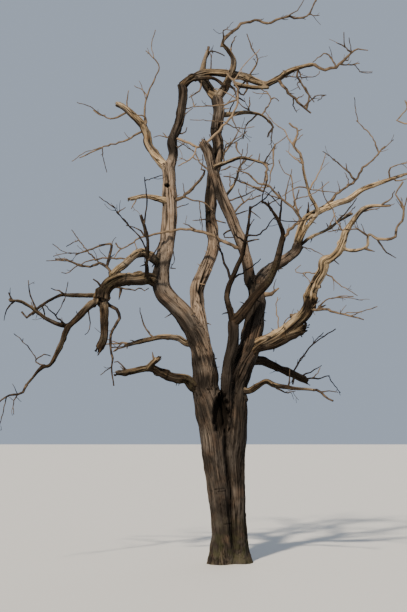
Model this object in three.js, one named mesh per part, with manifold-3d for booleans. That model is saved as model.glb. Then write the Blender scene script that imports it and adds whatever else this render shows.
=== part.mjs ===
// A tall dead tree with two fused stems, broken boughs and bare twigs.
// Sizes are millimetres. +Z is up, the flat cut under the trunk lies at z = 0,
// and the tree's broad side faces -Y.
//
// Every limb is described by its front view: how far across and how far up it
// runs, as seen along one line of sight, and how far it leans away at its end.
import * as THREE from 'three';
import { mergeVertices } from 'three/addons/utils/BufferGeometryUtils.js';
import Module from 'manifold-3d';

const wasm = await Module();
wasm.setup();

// The line of sight that the front view is measured along
const sightAcross = -398;
const sightDistance = 20000;
const eyeHeight = 2325;
const aimHeight = 3810;

// The trunk
const trunkTop = 2520;
const trunkFootRatio = 1.22;
const trunkTopRatio = 1;
const trunkSides = 14;
const trunkStep = 200;
const fluteCount = 5;
const fluteDepth = 0.05;
const leftCoreDepth = -30;
const rightCoreDepth = 40;

// Limbs and twigs
const clearance = 0.35;
const limbSides = 8;
const thickLimbSides = 10;
const thickLimbWidth = 170;
const twigSides = 3;
const stepPerWidth = 1.7;
const shortestStep = 190;
const twigStep = 260;
const axisSamples = 80;
const twigSamples = 12;
const knobbliness = 0.05;
const stemRipple = 0.03;
const twigRoom = 14;

// The seeded rule for the twigs
const twigsPerMetre = 1.5;
const firstTwigShare = 0.3;
const lastTwigShare = 0.98;
const twigTurnSpread = 2.2;
const twigLength = 430;
const twigAngleLow = 0.6;
const twigAngleSpread = 0.55;
const twigKink = 0.42;
const twigLift = 0.16;
const twigTipWidth = 11;
const twigBaseShare = 0.6;
const widestTwig = 30;
const twigPieces = 2;

const paleWood = 0xa08a70;
const darkWood = 0x5a4d42;
const twigWood = 0x6e6054;

// Random numbers that come out the same every time
function seeded(seed) {
  let state = (Math.imul(seed, 747796405) + 1) >>> 0;
  return function next() {
    state = (Math.imul(state, 1664525) + 1013904223) >>> 0;
    return state / 4294967296;
  };
}

// A place in the front view, moved along its line of sight to its depth
const eye = new THREE.Vector3(sightAcross, -sightDistance, eyeHeight);
const sightTilt = Math.atan2(aimHeight - eyeHeight, sightDistance);
function onSightLine(across, depth, up) {
  const rise = up - aimHeight;
  const ray = new THREE.Vector3(
    across - sightAcross,
    sightDistance - rise * Math.sin(sightTilt),
    aimHeight - eyeHeight + rise * Math.cos(sightTilt),
  );
  const reach = (sightDistance + depth) / ray.y;
  return { point: eye.clone().addScaledVector(ray, reach), reach };
}

// A closed unit cylinder with merged corners, ready to be bent onto an axis
function unitCylinder(sides, steps) {
  const cylinder = new THREE.CylinderGeometry(1, 1, 1, sides, steps);
  cylinder.deleteAttribute('normal');
  cylinder.deleteAttribute('uv');
  return mergeVertices(cylinder, 1e-4);
}

function solidOf(geometry) {
  const mesh = new wasm.Mesh({
    numProp: 3,
    vertProperties: new Float32Array(geometry.attributes.position.array),
    triVerts: new Uint32Array(geometry.index.array),
  });
  return new wasm.Manifold(mesh);
}

// A limb's axis: points in space and the limb's width at each of them
function axisOf(waypoints) {
  const curve = new THREE.CatmullRomCurve3(
    waypoints.map((w) => new THREE.Vector3(w.across, w.depth, w.up)),
    false,
    'centripetal',
  );
  const shares = [0];
  for (let i = 1; i < waypoints.length; i += 1) {
    const from = curve.points[i - 1];
    shares.push(shares[i - 1] + from.distanceTo(curve.points[i]));
  }
  const length = shares[shares.length - 1];
  const places = [];
  for (let i = 0; i <= axisSamples; i += 1) {
    const share = i / axisSamples;
    const front = curve.getPointAt(share);
    let k = 1;
    while (k < shares.length - 1 && shares[k] < share * length) k += 1;
    const part = (share * length - shares[k - 1]) / (shares[k] - shares[k - 1]);
    const width = THREE.MathUtils.lerp(waypoints[k - 1].width, waypoints[k].width, part);
    const placed = onSightLine(front.x, front.y, front.z);
    places.push({ front, point: placed.point, width: width * placed.reach });
  }
  return { places, length };
}

// A round, slightly knobbly solid swept along an axis, wider all over by grow
function sweep(axis, sides, step, settings = {}) {
  const { grow = 0, footRatio = 1, topRatio = 1, ripple = knobbliness, seed = 1 } = settings;
  const curve = new THREE.CatmullRomCurve3(axis.places.map((place) => place.point));
  const steps = Math.max(2, Math.round(curve.getLength() / step));
  const frames = curve.computeFrenetFrames(steps, false);
  const geometry = unitCylinder(sides, steps);
  const position = geometry.attributes.position;
  const random = seeded(seed);
  const wander = Array.from({ length: steps + 1 }, () => 1 + ripple * (2 * random() - 1));
  const centre = new THREE.Vector3();
  for (let i = 0; i < position.count; i += 1) {
    const share = position.getY(i) + 0.5;
    const k = Math.round(share * steps);
    const place = axis.places[Math.round(share * (axis.places.length - 1))];
    const angle = Math.atan2(position.getZ(i), position.getX(i));
    const flute = 1 + ripple * 0.6 * Math.cos(fluteCount * angle + seed + 2 * share);
    const onAxis = Math.hypot(position.getX(i), position.getZ(i)) < 0.5;
    const radius = onAxis ? 0 : (place.width / 2) * wander[k] * flute + grow;
    curve.getPointAt(share, centre);
    const end = k === 0 ? -grow : k === steps ? grow : 0;
    centre.addScaledVector(frames.tangents[k], end);
    const offset = new THREE.Vector3()
      .addScaledVector(frames.binormals[k], Math.cos(angle) * radius)
      .addScaledVector(frames.normals[k], Math.sin(angle) * radius);
    offset.y *= THREE.MathUtils.lerp(footRatio, topRatio, share);
    centre.add(offset);
    position.setXYZ(i, centre.x, centre.y, centre.z);
  }
  return solidOf(geometry);
}

// A box solid between two heights, wide enough to cut any part of the trunk
function slab(low, high) {
  const reach = 4000;
  const box = new THREE.BoxGeometry(reach, reach, high - low);
  box.deleteAttribute('normal');
  box.deleteAttribute('uv');
  const merged = mergeVertices(box, 1e-4);
  merged.translate(0, 0, (low + high) / 2);
  return solidOf(merged);
}

// The largest body of a solid, without the loose scraps that a cut leaves
function largest(solid) {
  return solid.decompose().reduce((best, body) => (body.volume() > best.volume() ? body : best));
}

const tree = new THREE.Group();
const limbs = new Map();
const occupied = [];

function addMesh(name, solid, colour, roughness) {
  const { vertProperties, triVerts } = solid.getMesh();
  const geometry = new THREE.BufferGeometry();
  geometry.setAttribute('position', new THREE.BufferAttribute(new Float32Array(vertProperties), 3));
  geometry.setIndex(new THREE.BufferAttribute(new Uint32Array(triVerts), 1));
  const material = new THREE.MeshStandardMaterial({ color: colour, roughness, metalness: 0 });
  const mesh = new THREE.Mesh(geometry, material);
  mesh.name = name;
  tree.add(mesh);
}

// Rows of short capsules that stand for a limb when a twig looks for room
function occupy(axis, owner) {
  const { places } = axis;
  const stride = 4;
  for (let i = stride; i < places.length; i += stride) {
    const radius = Math.max(places[i - stride].width, places[i].width) / 2;
    occupied.push({ from: places[i - stride].point, to: places[i].point, radius, owner });
  }
}

// The place on a limb's axis that lies nearest to a point of the front view
function startOn(parent, across, up) {
  let best = null;
  let bestDistance = Infinity;
  for (const place of limbs.get(parent).axis.places) {
    const distance = Math.hypot(place.front.x - across, place.front.z - up);
    if (distance < bestDistance) {
      best = place;
      bestDistance = distance;
    }
  }
  return best.front;
}

// Waypoints are [across, up], or [across, up, depth] where the depth matters.
// The first one is moved onto the parent's axis, and the depth in between
// changes evenly along the way.
function spread(parent, base, tip, depth, route) {
  const start = startOn(parent, route[0][0], route[0][1]);
  const steps = [0];
  for (let i = 1; i < route.length; i += 1) {
    const run = Math.hypot(route[i][0] - route[i - 1][0], route[i][1] - route[i - 1][1]);
    steps.push(steps[i - 1] + run);
  }
  const length = steps[steps.length - 1];
  const known = route.map((stop, i) => {
    if (i === 0) return start.y;
    if (i === route.length - 1) return depth;
    return stop[2];
  });
  return route.map((stop, i) => {
    let low = i;
    while (known[low] === undefined) low -= 1;
    let high = i;
    while (known[high] === undefined) high += 1;
    const part = high === low ? 0 : (steps[i] - steps[low]) / (steps[high] - steps[low]);
    return {
      across: i === 0 ? start.x : stop[0],
      up: i === 0 ? start.z : stop[1],
      depth: THREE.MathUtils.lerp(known[low], known[high], part),
      width: THREE.MathUtils.lerp(base, tip, steps[i] / length),
    };
  });
}

// What is left of a new solid clear of every limb that it runs into
function cutClear(solid) {
  let left = solid;
  const box = solid.boundingBox();
  for (const limb of limbs.values()) {
    const other = limb.grown.boundingBox();
    const apart = [0, 1, 2].some((i) => box.max[i] < other.min[i] || box.min[i] > other.max[i]);
    if (!apart) left = left.subtract(limb.grown);
  }
  return largest(left);
}

let limbSeed = 1;
function addLimb(name, axis, colour) {
  const width = axis.places[0].width;
  const sides = width > thickLimbWidth ? thickLimbSides : limbSides;
  const step = Math.max(shortestStep, stepPerWidth * width);
  limbSeed += 1;
  const settings = { seed: limbSeed };
  const solid = cutClear(sweep(axis, sides, step, settings));
  limbs.set(name, { axis, grown: sweep(axis, sides, step, { ...settings, grow: clearance }) });
  occupy(axis, name);
  addMesh(name, solid, colour, 0.9);
}

function bough(name, parent, base, tip, depth, ...route) {
  addLimb(name, axisOf(spread(parent, base, tip, depth, route)), paleWood);
}

// How near two straight pieces come to each other, tried at a few places
function gapBetween(from, to, capsule) {
  const line = new THREE.Line3(capsule.from, capsule.to);
  const nearest = new THREE.Vector3();
  let gap = Infinity;
  for (const share of [0, 0.25, 0.5, 0.75, 1]) {
    const point = from.clone().lerp(to, share);
    line.closestPointToPoint(point, true, nearest);
    gap = Math.min(gap, point.distanceTo(nearest) - capsule.radius);
  }
  return gap;
}

function hasRoom(points, width, owner) {
  for (let i = 1; i < points.length; i += 1) {
    for (const capsule of occupied) {
      if (capsule.owner === owner) continue;
      if (gapBetween(points[i - 1], points[i], capsule) < width / 2 + twigRoom) return false;
    }
  }
  return true;
}

// One twig of the seeded rule, crooked and rising a little, as points in space
function twigPoints(axis, share, turn, length, random) {
  const index = Math.round(share * (axis.places.length - 1));
  const here = axis.places[index].point;
  const ahead = axis.places[Math.min(index + 2, axis.places.length - 1)].point;
  const behind = axis.places[Math.max(index - 2, 0)].point;
  const along = ahead.clone().sub(behind).normalize();
  const side = new THREE.Vector3(0, 0, 1).cross(along).normalize();
  side.applyAxisAngle(along, turn);
  const lean = twigAngleLow + twigAngleSpread * random();
  const heading = along.multiplyScalar(Math.cos(lean)).addScaledVector(side, Math.sin(lean));
  const points = [here.clone()];
  for (let i = 0; i < twigPieces; i += 1) {
    const nudge = new THREE.Vector3(random() - 0.5, random() - 0.5, random() - 0.5 + twigLift);
    heading.addScaledVector(nudge, 2 * twigKink).normalize();
    points.push(points[i].clone().addScaledVector(heading, length / twigPieces));
  }
  return points;
}

function straightAxis(points, base, tip) {
  const curve = new THREE.CatmullRomCurve3(points, false, 'centripetal');
  const places = [];
  for (let i = 0; i <= twigSamples; i += 1) {
    const share = i / twigSamples;
    places.push({ point: curve.getPointAt(share), width: THREE.MathUtils.lerp(base, tip, share) });
  }
  return { places };
}

// Thick stems are rounder than thin ones
function stemSidesOf(width) {
  if (width > 75) return 7;
  return width > 40 ? 5 : twigSides;
}

// A mass of bare twigs: a stem, its leading twigs, and seeded twigs on both
let massSeed = 100;
function mass(name, parent, base, tip, depth, route, leaders = []) {
  massSeed += 1;
  const stem = axisOf(spread(parent, base, tip, depth, route));
  const stemStep = Math.max(shortestStep, stepPerWidth * base);
  const pieces = [];
  const fuse = (axis, sides, step, settings) => {
    pieces.push({ axis, sides, step, settings });
    occupy(axis, name);
  };
  fuse(stem, stemSidesOf(base), stemStep, { seed: massSeed, ripple: stemRipple });
  const self = { axis: stem };
  limbs.set(name, self);
  const carriers = [stem];
  for (const [leaderBase, leaderTip, leaderDepth, ...leaderRoute] of leaders) {
    const axis = axisOf(spread(name, leaderBase, leaderTip, leaderDepth, leaderRoute));
    fuse(axis, twigSides, twigStep, { ripple: stemRipple });
    carriers.push(axis);
  }
  for (const [index, carrier] of carriers.entries()) {
    const random = seeded(massSeed * 31 + index);
    const count = Math.round((carrier.length / 1000) * twigsPerMetre);
    for (let i = 0; i < count; i += 1) {
      const place = ((i + random()) / count) * lastTwigShare;
      const share = firstTwigShare + (1 - firstTwigShare) * place;
      const turn = Math.PI * (i % 2) + (random() - 0.5) * twigTurnSpread;
      const length = twigLength * (0.5 + random());
      const points = twigPoints(carrier, share, turn, length, random);
      const here = carrier.places[Math.round(share * axisSamples)].width;
      const twigBase = Math.min(widestTwig, Math.max(twigTipWidth + 4, here * twigBaseShare));
      if (!hasRoom(points, twigBase, name)) continue;
      const axis = straightAxis(points, twigBase, twigTipWidth);
      fuse(axis, twigSides, length / twigPieces, { ripple: 0 });
    }
  }
  limbs.delete(name);
  const fused = (grow) => pieces
    .map(({ axis, sides, step, settings }) => sweep(axis, sides, step, { ...settings, grow }))
    .reduce((all, piece) => all.add(piece));
  const solid = cutClear(fused(0));
  limbs.set(name, { axis: stem, grown: fused(clearance) });
  addMesh(name, solid, twigWood, 0.95);
}

// The trunk: two stems grown together, each [across, up, width] from the ground
function core(depth, stops) {
  return axisOf(stops.map(([across, up, width]) => ({ across, up, width, depth })));
}

const leftCore = core(leftCoreDepth, [
  [-142, -100, 440], [-126, 120, 372], [-115, 400, 328], [-155, 980, 350], [-205, 1560, 410],
  [-235, 1905, 440], [-330, 2370, 450], [-372, 2560, 420], [-380, 2700, 360],
]);
const rightCore = core(rightCoreDepth, [
  [168, -100, 390], [138, 120, 310], [116, 400, 268], [100, 1080, 280], [75, 1560, 360],
  [75, 1905, 390], [62, 2370, 440], [75, 2560, 400], [110, 2700, 340],
]);

function trunkSolid(grow) {
  const shared = { grow, footRatio: trunkFootRatio, topRatio: trunkTopRatio, ripple: fluteDepth };
  const left = sweep(leftCore, trunkSides, trunkStep, { ...shared, seed: 3 });
  const right = sweep(rightCore, trunkSides, trunkStep, { ...shared, seed: 5 });
  return left.add(right).intersect(slab(0, trunkTop + grow));
}

const trunkRoom = trunkSolid(clearance);
limbs.set('trunk', { axis: leftCore, grown: trunkRoom });
limbs.set('trunk_right', { axis: rightCore, grown: trunkRoom });
occupy(leftCore, 'trunk');
occupy(rightCore, 'trunk');
addMesh('trunk', largest(trunkSolid(0)), darkWood, 0.9);

// The left stem and what it carries
bough('left_stem', 'trunk', 450, 300, -10, [-330, 2370], [-372, 2560], [-370, 2750],
  [-396, 2955], [-440, 3180], [-540, 3440]);
bough('left_bough', 'left_stem', 285, 250, 60, [-525, 3400], [-698, 3668], [-915, 3900],
  [-1015, 4060], [-1035, 4330]);
bough('left_upright', 'left_bough', 230, 212, 100, [-1035, 4300], [-975, 4605], [-925, 4950],
  [-908, 5400], [-910, 5700], [-930, 5960]);
bough('centre_stem', 'left_stem', 260, 172, 320, [-400, 3150], [-462, 3525, 120],
  [-505, 3900, 240], [-500, 4090], [-352, 4440], [-270, 4635], [-243, 4800]);
bough('centre_upright', 'centre_stem', 172, 182, 60, [-243, 4770], [-295, 5110, 290],
  [-276, 5400, 260], [-255, 5835, 210], [-165, 6200, 150], [-198, 6420], [-180, 6720], [-195, 6960]);
bough('upper_left_bough', 'left_upright', 165, 125, 450, [-930, 5850], [-1050, 5985],
  [-1148, 6098], [-1228, 6255], [-1248, 6420]);
bough('top_left_bough', 'left_upright', 170, 128, 20, [-915, 5840], [-858, 6060],
  [-876, 6290], [-767, 6546], [-722, 6830], [-712, 7050], [-728, 7140]);
bough('top_arch', 'top_left_bough', 125, 108, -60, [-727, 7100], [-610, 7200], [-465, 7262],
  [-150, 7300], [165, 7262], [495, 7140]);
bough('top_right_bough', 'top_arch', 108, 66, -500, [470, 7150], [555, 7131], [650, 7185],
  [840, 7305], [1050, 7395], [1275, 7435]);

// The right stem and what it carries
bough('right_stem', 'trunk_right', 440, 235, 20, [62, 2370], [75, 2560], [158, 2850],
  [270, 3150], [318, 3405], [380, 3750], [390, 4110]);
bough('front_stem', 'trunk_right', 188, 165, -250, [-62, 2380], [-62, 2520, -190],
  [-20, 2940, -225], [38, 3225], [54, 3590]);
bough('broken_bough', 'right_stem', 190, 150, -190, [385, 4040], [300, 4200], [237, 4553],
  [165, 4785], [60, 5010], [-100, 5410], [-240, 5790], [-322, 6128], [-372, 6215]);
bough('right_bough', 'right_stem', 180, 160, 300, [388, 4060], [420, 4150], [537, 4335],
  [675, 4425], [786, 4488], [930, 4590], [1035, 4725]);
bough('front_right_bough', 'front_stem', 165, 95, -480, [54, 3550], [210, 3741, -300],
  [423, 4000, -330], [594, 4239], [690, 4455], [795, 4853]);
bough('lower_right_bough', 'right_stem', 200, 185, -500, [250, 3100], [450, 3215], [594, 3291],
  [786, 3405], [975, 3551], [1120, 3690], [1215, 3840]);
bough('middle_right_bough', 'lower_right_bough', 195, 128, -850, [1205, 3815], [1210, 4050],
  [1280, 4200], [1395, 4368], [1420, 4485], [1530, 4540], [1645, 4655], [1704, 4805]);
bough('right_reach', 'right_bough', 118, 100, 560, [1025, 4710], [1020, 4845], [1080, 5010],
  [1164, 5148], [1280, 5205], [1545, 5318], [1704, 5378]);

// The two strands on the left that join and break up again
bough('left_low_bough', 'left_bough', 145, 235, -300, [-1015, 4070], [-1120, 4165],
  [-1230, 4215], [-1575, 4230], [-1700, 4205], [-1840, 4130], [-1920, 4020], [-1950, 3900]);
bough('left_high_bough', 'left_upright', 125, 118, -220, [-1020, 4440], [-1170, 4515],
  [-1310, 4615], [-1402, 4596], [-1635, 4390], [-1800, 4240]);
bough('drooping_bough', 'left_low_bough', 118, 66, -700, [-1945, 3930], [-2085, 3812],
  [-2303, 3611], [-2440, 3480], [-2520, 3266], [-2661, 2979], [-2718, 2910]);
bough('hanging_stub', 'left_low_bough', 130, 140, -240, [-1940, 3960], [-1895, 3800],
  [-1886, 3420], [-1905, 3285], [-1958, 3180]);

// Lower arms, stubs and the boughs that lean away at the back
bough('knotty_arm', 'left_stem', 178, 80, -500, [-365, 2600], [-540, 2600], [-640, 2690],
  [-855, 2740], [-1070, 2820], [-1185, 2865], [-1400, 2840], [-1710, 2796]);
bough('knotty_stub', 'knotty_arm', 100, 92, -420, [-1240, 2868], [-1180, 2925], [-1095, 3010]);
bough('pale_stub', 'left_upright', 108, 68, -150, [-910, 5355], [-1101, 5424], [-1320, 5448],
  [-1491, 5415]);
bough('back_bough', 'centre_stem', 130, 62, 1500, [-490, 4100], [-400, 4400, 720],
  [-265, 4700, 1050], [-285, 5150, 1300], [-262, 5550]);
bough('rear_right_bough', 'right_stem', 135, 60, 1350, [385, 3900], [330, 4180, 480],
  [225, 4600, 850], [80, 5000, 1120], [-40, 5260]);

// Masses at the top
mass('crown_twigs', 'centre_upright', 150, 48, -150,
  [[-190, 6940], [-84, 7080, 0], [-12, 7240, -170], [40, 7330, -190], [57, 7475],
    [-39, 7665], [-115, 7743]],
  [[44, 18, -180, [-115, 7740], [-69, 7835], [177, 8031], [400, 8098], [540, 8045], [825, 8145],
    [1107, 8129], [1230, 8265], [1335, 8600]], [30, 12, -450, [-110, 7735], [-100, 7950]]]);
mass('left_fork_twigs', 'centre_upright', 122, 34, 380,
  [[-200, 6930], [-306, 7050, 140], [-400, 7215, 200], [-411, 7343], [-352, 7590], [-315, 7700]],
  [[28, 14, 700, [-395, 7480], [-285, 7640], [-150, 7600], [-80, 7560]]]);
mass('top_right_twigs', 'top_right_bough', 55, 14, -900,
  [[1260, 7430], [1353, 7372], [1568, 7386], [1655, 7455], [1818, 7602], [1887, 7653], [2067, 7648]],
  [[26, 12, -400, [1590, 7395], [1470, 7590], [1360, 7565], [1240, 7470]],
    [26, 12, -1100, [1818, 7602], [1755, 7680], [1600, 7760]],
    [24, 12, -500, [1640, 7440], [1765, 7425], [1945, 7448]]]);
mass('hanging_right_twigs', 'top_right_bough', 48, 24, -100,
  [[705, 7220], [840, 7055, -320], [990, 6905], [1095, 6792], [1210, 6705]],
  [[30, 20, -350, [1150, 6760], [1190, 6965], [1080, 7140], [1010, 7250]],
    [24, 12, 100, [1100, 6790], [1300, 6965], [1440, 6975]]]);
mass('leaning_pale_twigs', 'top_left_bough', 40, 24, -330,
  [[-850, 6320], [-652, 6279], [-465, 6195, -40], [-300, 6310, -90], [-63, 6555, -120],
    [60, 6720, -150], [126, 7058, -230], [30, 7200, -300], [-42, 7300]],
  [[24, 14, -320, [-500, 6225], [-560, 6040], [-780, 5910]]]);
mass('upper_left_twigs', 'upper_left_bough', 128, 82, 800,
  [[-1247, 6390], [-1323, 6525], [-1440, 6660], [-1560, 6765], [-1674, 6840]],
  [[32, 14, 1100, [-1290, 6450], [-1540, 6300], [-1890, 6195], [-2260, 6030]],
    [30, 14, 300, [-1270, 6430], [-1275, 6840], [-1128, 7230], [-1060, 7410], [-1265, 7640]],
    [32, 16, 1000, [-1520, 6730], [-1790, 6620], [-1910, 6663], [-2045, 6750]]]);
mass('inner_right_twigs', 'centre_upright', 84, 24, 1000,
  [[-180, 6650], [96, 6700, 300], [335, 6710], [488, 6660], [640, 6489], [564, 6345]],
  [[26, 14, 1200, [480, 6665], [610, 6900], [590, 6985], [470, 7060]],
    [26, 14, 600, [411, 6681], [240, 6500], [200, 6315]]]);
mass('inner_left_twigs', 'left_upright', 52, 26, -330,
  [[-900, 5355], [-690, 5470], [-490, 5670], [-375, 5812], [-440, 5860]],
  [[30, 16, -60, [-720, 5455], [-540, 5400], [-345, 5333], [-255, 5240]]]);
mass('hooked_twigs', 'broken_bough', 78, 22, -850,
  [[-262, 5870], [-165, 5925, -250], [26, 5997], [177, 6038], [398, 5985], [538, 5922],
    [540, 5666], [504, 5525]],
  [[26, 12, -1100, [500, 5935], [680, 6240]], [24, 12, -600, [-100, 5960], [-50, 6240], [100, 6260]]]);

// Masses in the middle and in front
mass('front_left_twigs', 'front_stem', 108, 36, -650,
  [[54, 3545], [-8, 3741, -300], [-36, 4000, -330], [70, 4320, -360], [188, 4590], [273, 5018],
    [288, 5160], [305, 5310]],
  [[46, 20, -300, [0, 4190], [-75, 4420], [-140, 4620], [-190, 4720]],
    [28, 14, -1000, [250, 4850], [440, 4890], [670, 5140]]]);
mass('front_right_twigs', 'front_right_bough', 82, 26, -900,
  [[790, 4830], [788, 4920], [702, 5130], [549, 5331], [462, 5378]],
  [[32, 20, -560, [750, 5040], [768, 5265, -640], [765, 5435], [720, 5530]]]);
mass('long_pale_twigs', 'front_right_bough', 48, 20, -1250,
  [[795, 4840], [960, 5025], [1050, 5080], [930, 5295], [765, 5415], [578, 5618], [425, 5640],
    [252, 5808], [90, 5838]],
  [[32, 16, -500, [1040, 5110], [960, 5445], [920, 5775]],
    [28, 16, -1150, [940, 5290], [1040, 5560]]]);
mass('long_front_twigs', 'broken_bough', 50, 20, -420,
  [[205, 4650], [-81, 4770, -170], [-366, 4914, -150], [-690, 4965, -140], [-915, 4930, -150],
    [-1146, 4880, -190], [-1341, 4830], [-1651, 4672], [-1720, 4758]],
  [[22, 12, -600, [-1640, 4680], [-1732, 4540]]]);

// Masses on the right
mass('far_right_twigs', 'right_reach', 100, 40, 500,
  [[1690, 5370], [1785, 5406], [1944, 5532], [2100, 5606], [2310, 5679], [2655, 5795], [2850, 5850]],
  [[36, 14, 800, [2740, 5820], [2860, 6150], [2760, 6500], [2512, 6585], [2655, 6770], [2625, 6900]],
    [28, 14, 300, [2390, 5710], [2397, 5870], [2512, 5930]]]);
mass('right_upright_twigs', 'right_bough', 74, 24, -250,
  [[1030, 4715], [1125, 4950, 220], [1230, 5091, 200], [1312, 5220, 190], [1200, 5480], [1101, 5846],
    [1080, 6030], [951, 6228], [1011, 6429], [890, 6560]],
  [[26, 12, 100, [960, 6220], [870, 6340], [810, 6460]]]);
mass('right_fan_twigs', 'right_reach', 44, 20, 1050,
  [[1340, 5230], [1515, 5406], [1640, 5511], [1785, 5616], [1902, 5730], [1995, 5880], [2135, 5985],
    [2260, 6135], [2328, 6210]],
  [[30, 14, 650, [1880, 5710], [1680, 5910], [1535, 6010]],
    [24, 12, 1300, [2230, 6100], [2124, 6353], [1890, 6596]]]);
mass('right_low_twigs', 'right_bough', 62, 38, 1100,
  [[930, 4595], [1100, 4760, 420], [1245, 4860], [1475, 4965], [1590, 5055], [1830, 5198]],
  [[22, 12, 1400, [1700, 5120], [1875, 5300]]]);
mass('right_end_twigs', 'middle_right_bough', 118, 34, -1250,
  [[1700, 4790], [1740, 4920], [1815, 5055], [2003, 5265], [2140, 5310], [2405, 5315]],
  [[26, 14, -700, [1730, 4900], [1580, 5110], [1544, 5265]]]);
mass('right_loop_twigs', 'middle_right_bough', 60, 22, -900,
  [[1660, 4680], [1815, 4643], [2048, 4700], [2082, 4884], [2220, 4815], [2484, 4845],
    [2496, 4988], [2622, 5205], [2490, 5490], [2595, 5679]],
  [[28, 14, -1350, [2075, 4850], [1890, 4965], [1470, 4925]]]);
mass('right_drooping_twigs', 'lower_right_bough', 46, 18, -1100,
  [[1170, 3770], [1300, 3740], [1431, 3771], [1545, 3726], [1776, 3668], [2005, 3606]],
  [[24, 14, -800, [1290, 3745], [1425, 3890], [1680, 3960], [1852, 3954]]]);
mass('broken_right_twigs', 'right_stem', 138, 100, 620,
  [[220, 2985], [375, 2985], [495, 2985], [780, 2855], [1125, 2705]],
  [[30, 14, 800, [1090, 2720], [1356, 2730], [1493, 2768]],
    [26, 14, 300, [930, 2790], [1035, 2970], [1252, 3244], [1585, 3465]]]);
mass('lowest_right_twigs', 'right_stem', 112, 24, -560,
  [[75, 2545], [300, 2540, -80], [380, 2590], [540, 2680], [666, 2625], [954, 2580], [1344, 2520],
    [1413, 2441], [1551, 2385]]);

// Masses on the left
mass('left_tip_twigs', 'drooping_bough', 62, 18, -1150,
  [[-2715, 2915], [-2820, 2890], [-2991, 2706], [-3177, 2490], [-3306, 2475], [-3450, 2376],
    [-3540, 2330]],
  [[24, 14, -500, [-2750, 2905], [-2920, 2980], [-2800, 3080], [-2690, 3060]]]);
mass('left_reaching_twigs', 'drooping_bough', 70, 44, -420,
  [[-2400, 3520], [-2475, 3515], [-2705, 3596], [-2904, 3725], [-3120, 3870], [-3221, 3890],
    [-3315, 3885]],
  [[34, 20, -300, [-3260, 3890], [-3321, 4005]], [24, 14, -900, [-2475, 3515], [-2780, 3825]]]);
mass('left_arc_twigs', 'left_low_bough', 78, 24, 350,
  [[-1945, 3950], [-2030, 3965, -220], [-2160, 3969], [-2403, 3969], [-2520, 3975], [-2775, 3855],
    [-2976, 3683], [-3048, 3630], [-3120, 3720]]);
mass('left_dangling_twigs', 'left_low_bough', 50, 20, -420,
  [[-1935, 3990], [-1815, 3820, -190], [-1700, 3745], [-1656, 3639], [-1778, 3410], [-1778, 3120],
    [-1757, 2721], [-1743, 2613]]);
mass('left_high_twigs', 'left_high_bough', 46, 20, 500,
  [[-1790, 4250], [-1830, 4380, -120], [-1976, 4450], [-2091, 4400], [-2265, 4425], [-2498, 4515],
    [-2619, 4515]],
  [[42, 18, 150, [-1850, 4400], [-1812, 4560], [-1770, 4740], [-1976, 4712], [-2126, 4643], [-2320, 4575]],
    [24, 12, 900, [-1960, 4445], [-2126, 4620], [-2377, 4950]]]);
mass('left_riser_twigs', 'left_low_bough', 64, 52, -520,
  [[-1252, 4215], [-1245, 4420, -370], [-1242, 4830], [-1299, 5055], [-1335, 5160]],
  [[24, 12, -1000, [-1245, 4600], [-1360, 4860], [-1520, 5010], [-1767, 5320]],
    [26, 12, -900, [-1290, 5020], [-1250, 5355], [-1280, 5745]]]);
mass('left_arm_twigs', 'left_stem', 118, 66, 700,
  [[-480, 3260], [-652, 3262], [-765, 3324], [-960, 3351], [-1185, 3315], [-1530, 3225]],
  [[34, 16, 950, [-1440, 3252], [-1730, 3248], [-1884, 3234]],
    [24, 14, 600, [-1500, 3235], [-1755, 3126]]]);

// Masses on the boughs at the back
mass('back_twigs', 'back_bough', 60, 18, 2050,
  [[-262, 5530], [-240, 5800, 1650], [-170, 6150], [-210, 6500], [-120, 6800]],
  [[32, 14, 1950, [-235, 5760], [-420, 5930], [-560, 6150]],
    [30, 14, 2200, [-200, 6000], [20, 6250], [150, 6480]]]);
mass('rear_right_twigs', 'rear_right_bough', 58, 18, 1900,
  [[-40, 5240], [-80, 5420, 1500], [60, 5640], [150, 5900], [330, 6080]],
  [[30, 14, 1750, [-60, 5380], [180, 5450], [380, 5560]]]);

export default tree;
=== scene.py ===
"""A tall dead tree with two fused stems, broken boughs and bare twigs.

The limbs follow the same named sizes as the solids, in millimetres along one
line of sight, and are turned to metres where they become meshes. The trunk and
the boughs are grown-together surfaces with furrows along the grain, and the
twigs are swept along seeded paths that branch on from the limbs.
"""
import itertools
import math

import bpy
import numpy as np
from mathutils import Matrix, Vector


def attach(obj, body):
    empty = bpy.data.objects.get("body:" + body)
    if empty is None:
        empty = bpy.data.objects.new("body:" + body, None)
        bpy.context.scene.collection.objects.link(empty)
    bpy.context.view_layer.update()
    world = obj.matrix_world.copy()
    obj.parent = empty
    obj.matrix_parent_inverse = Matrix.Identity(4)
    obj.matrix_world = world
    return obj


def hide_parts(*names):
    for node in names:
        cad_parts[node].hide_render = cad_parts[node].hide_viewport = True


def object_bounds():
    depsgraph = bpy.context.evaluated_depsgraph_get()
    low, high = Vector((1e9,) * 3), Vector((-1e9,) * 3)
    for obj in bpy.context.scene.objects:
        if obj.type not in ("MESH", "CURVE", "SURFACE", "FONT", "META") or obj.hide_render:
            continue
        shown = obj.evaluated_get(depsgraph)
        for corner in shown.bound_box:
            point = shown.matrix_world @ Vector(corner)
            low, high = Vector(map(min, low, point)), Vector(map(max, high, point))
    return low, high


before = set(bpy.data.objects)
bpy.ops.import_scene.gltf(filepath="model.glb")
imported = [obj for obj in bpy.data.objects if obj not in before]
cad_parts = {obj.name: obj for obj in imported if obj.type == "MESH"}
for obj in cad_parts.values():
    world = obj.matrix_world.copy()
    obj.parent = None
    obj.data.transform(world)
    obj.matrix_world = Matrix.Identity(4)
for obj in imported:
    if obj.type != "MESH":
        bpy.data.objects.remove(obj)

CAD_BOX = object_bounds()
MM = 0.001
BODY = "root"

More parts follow.
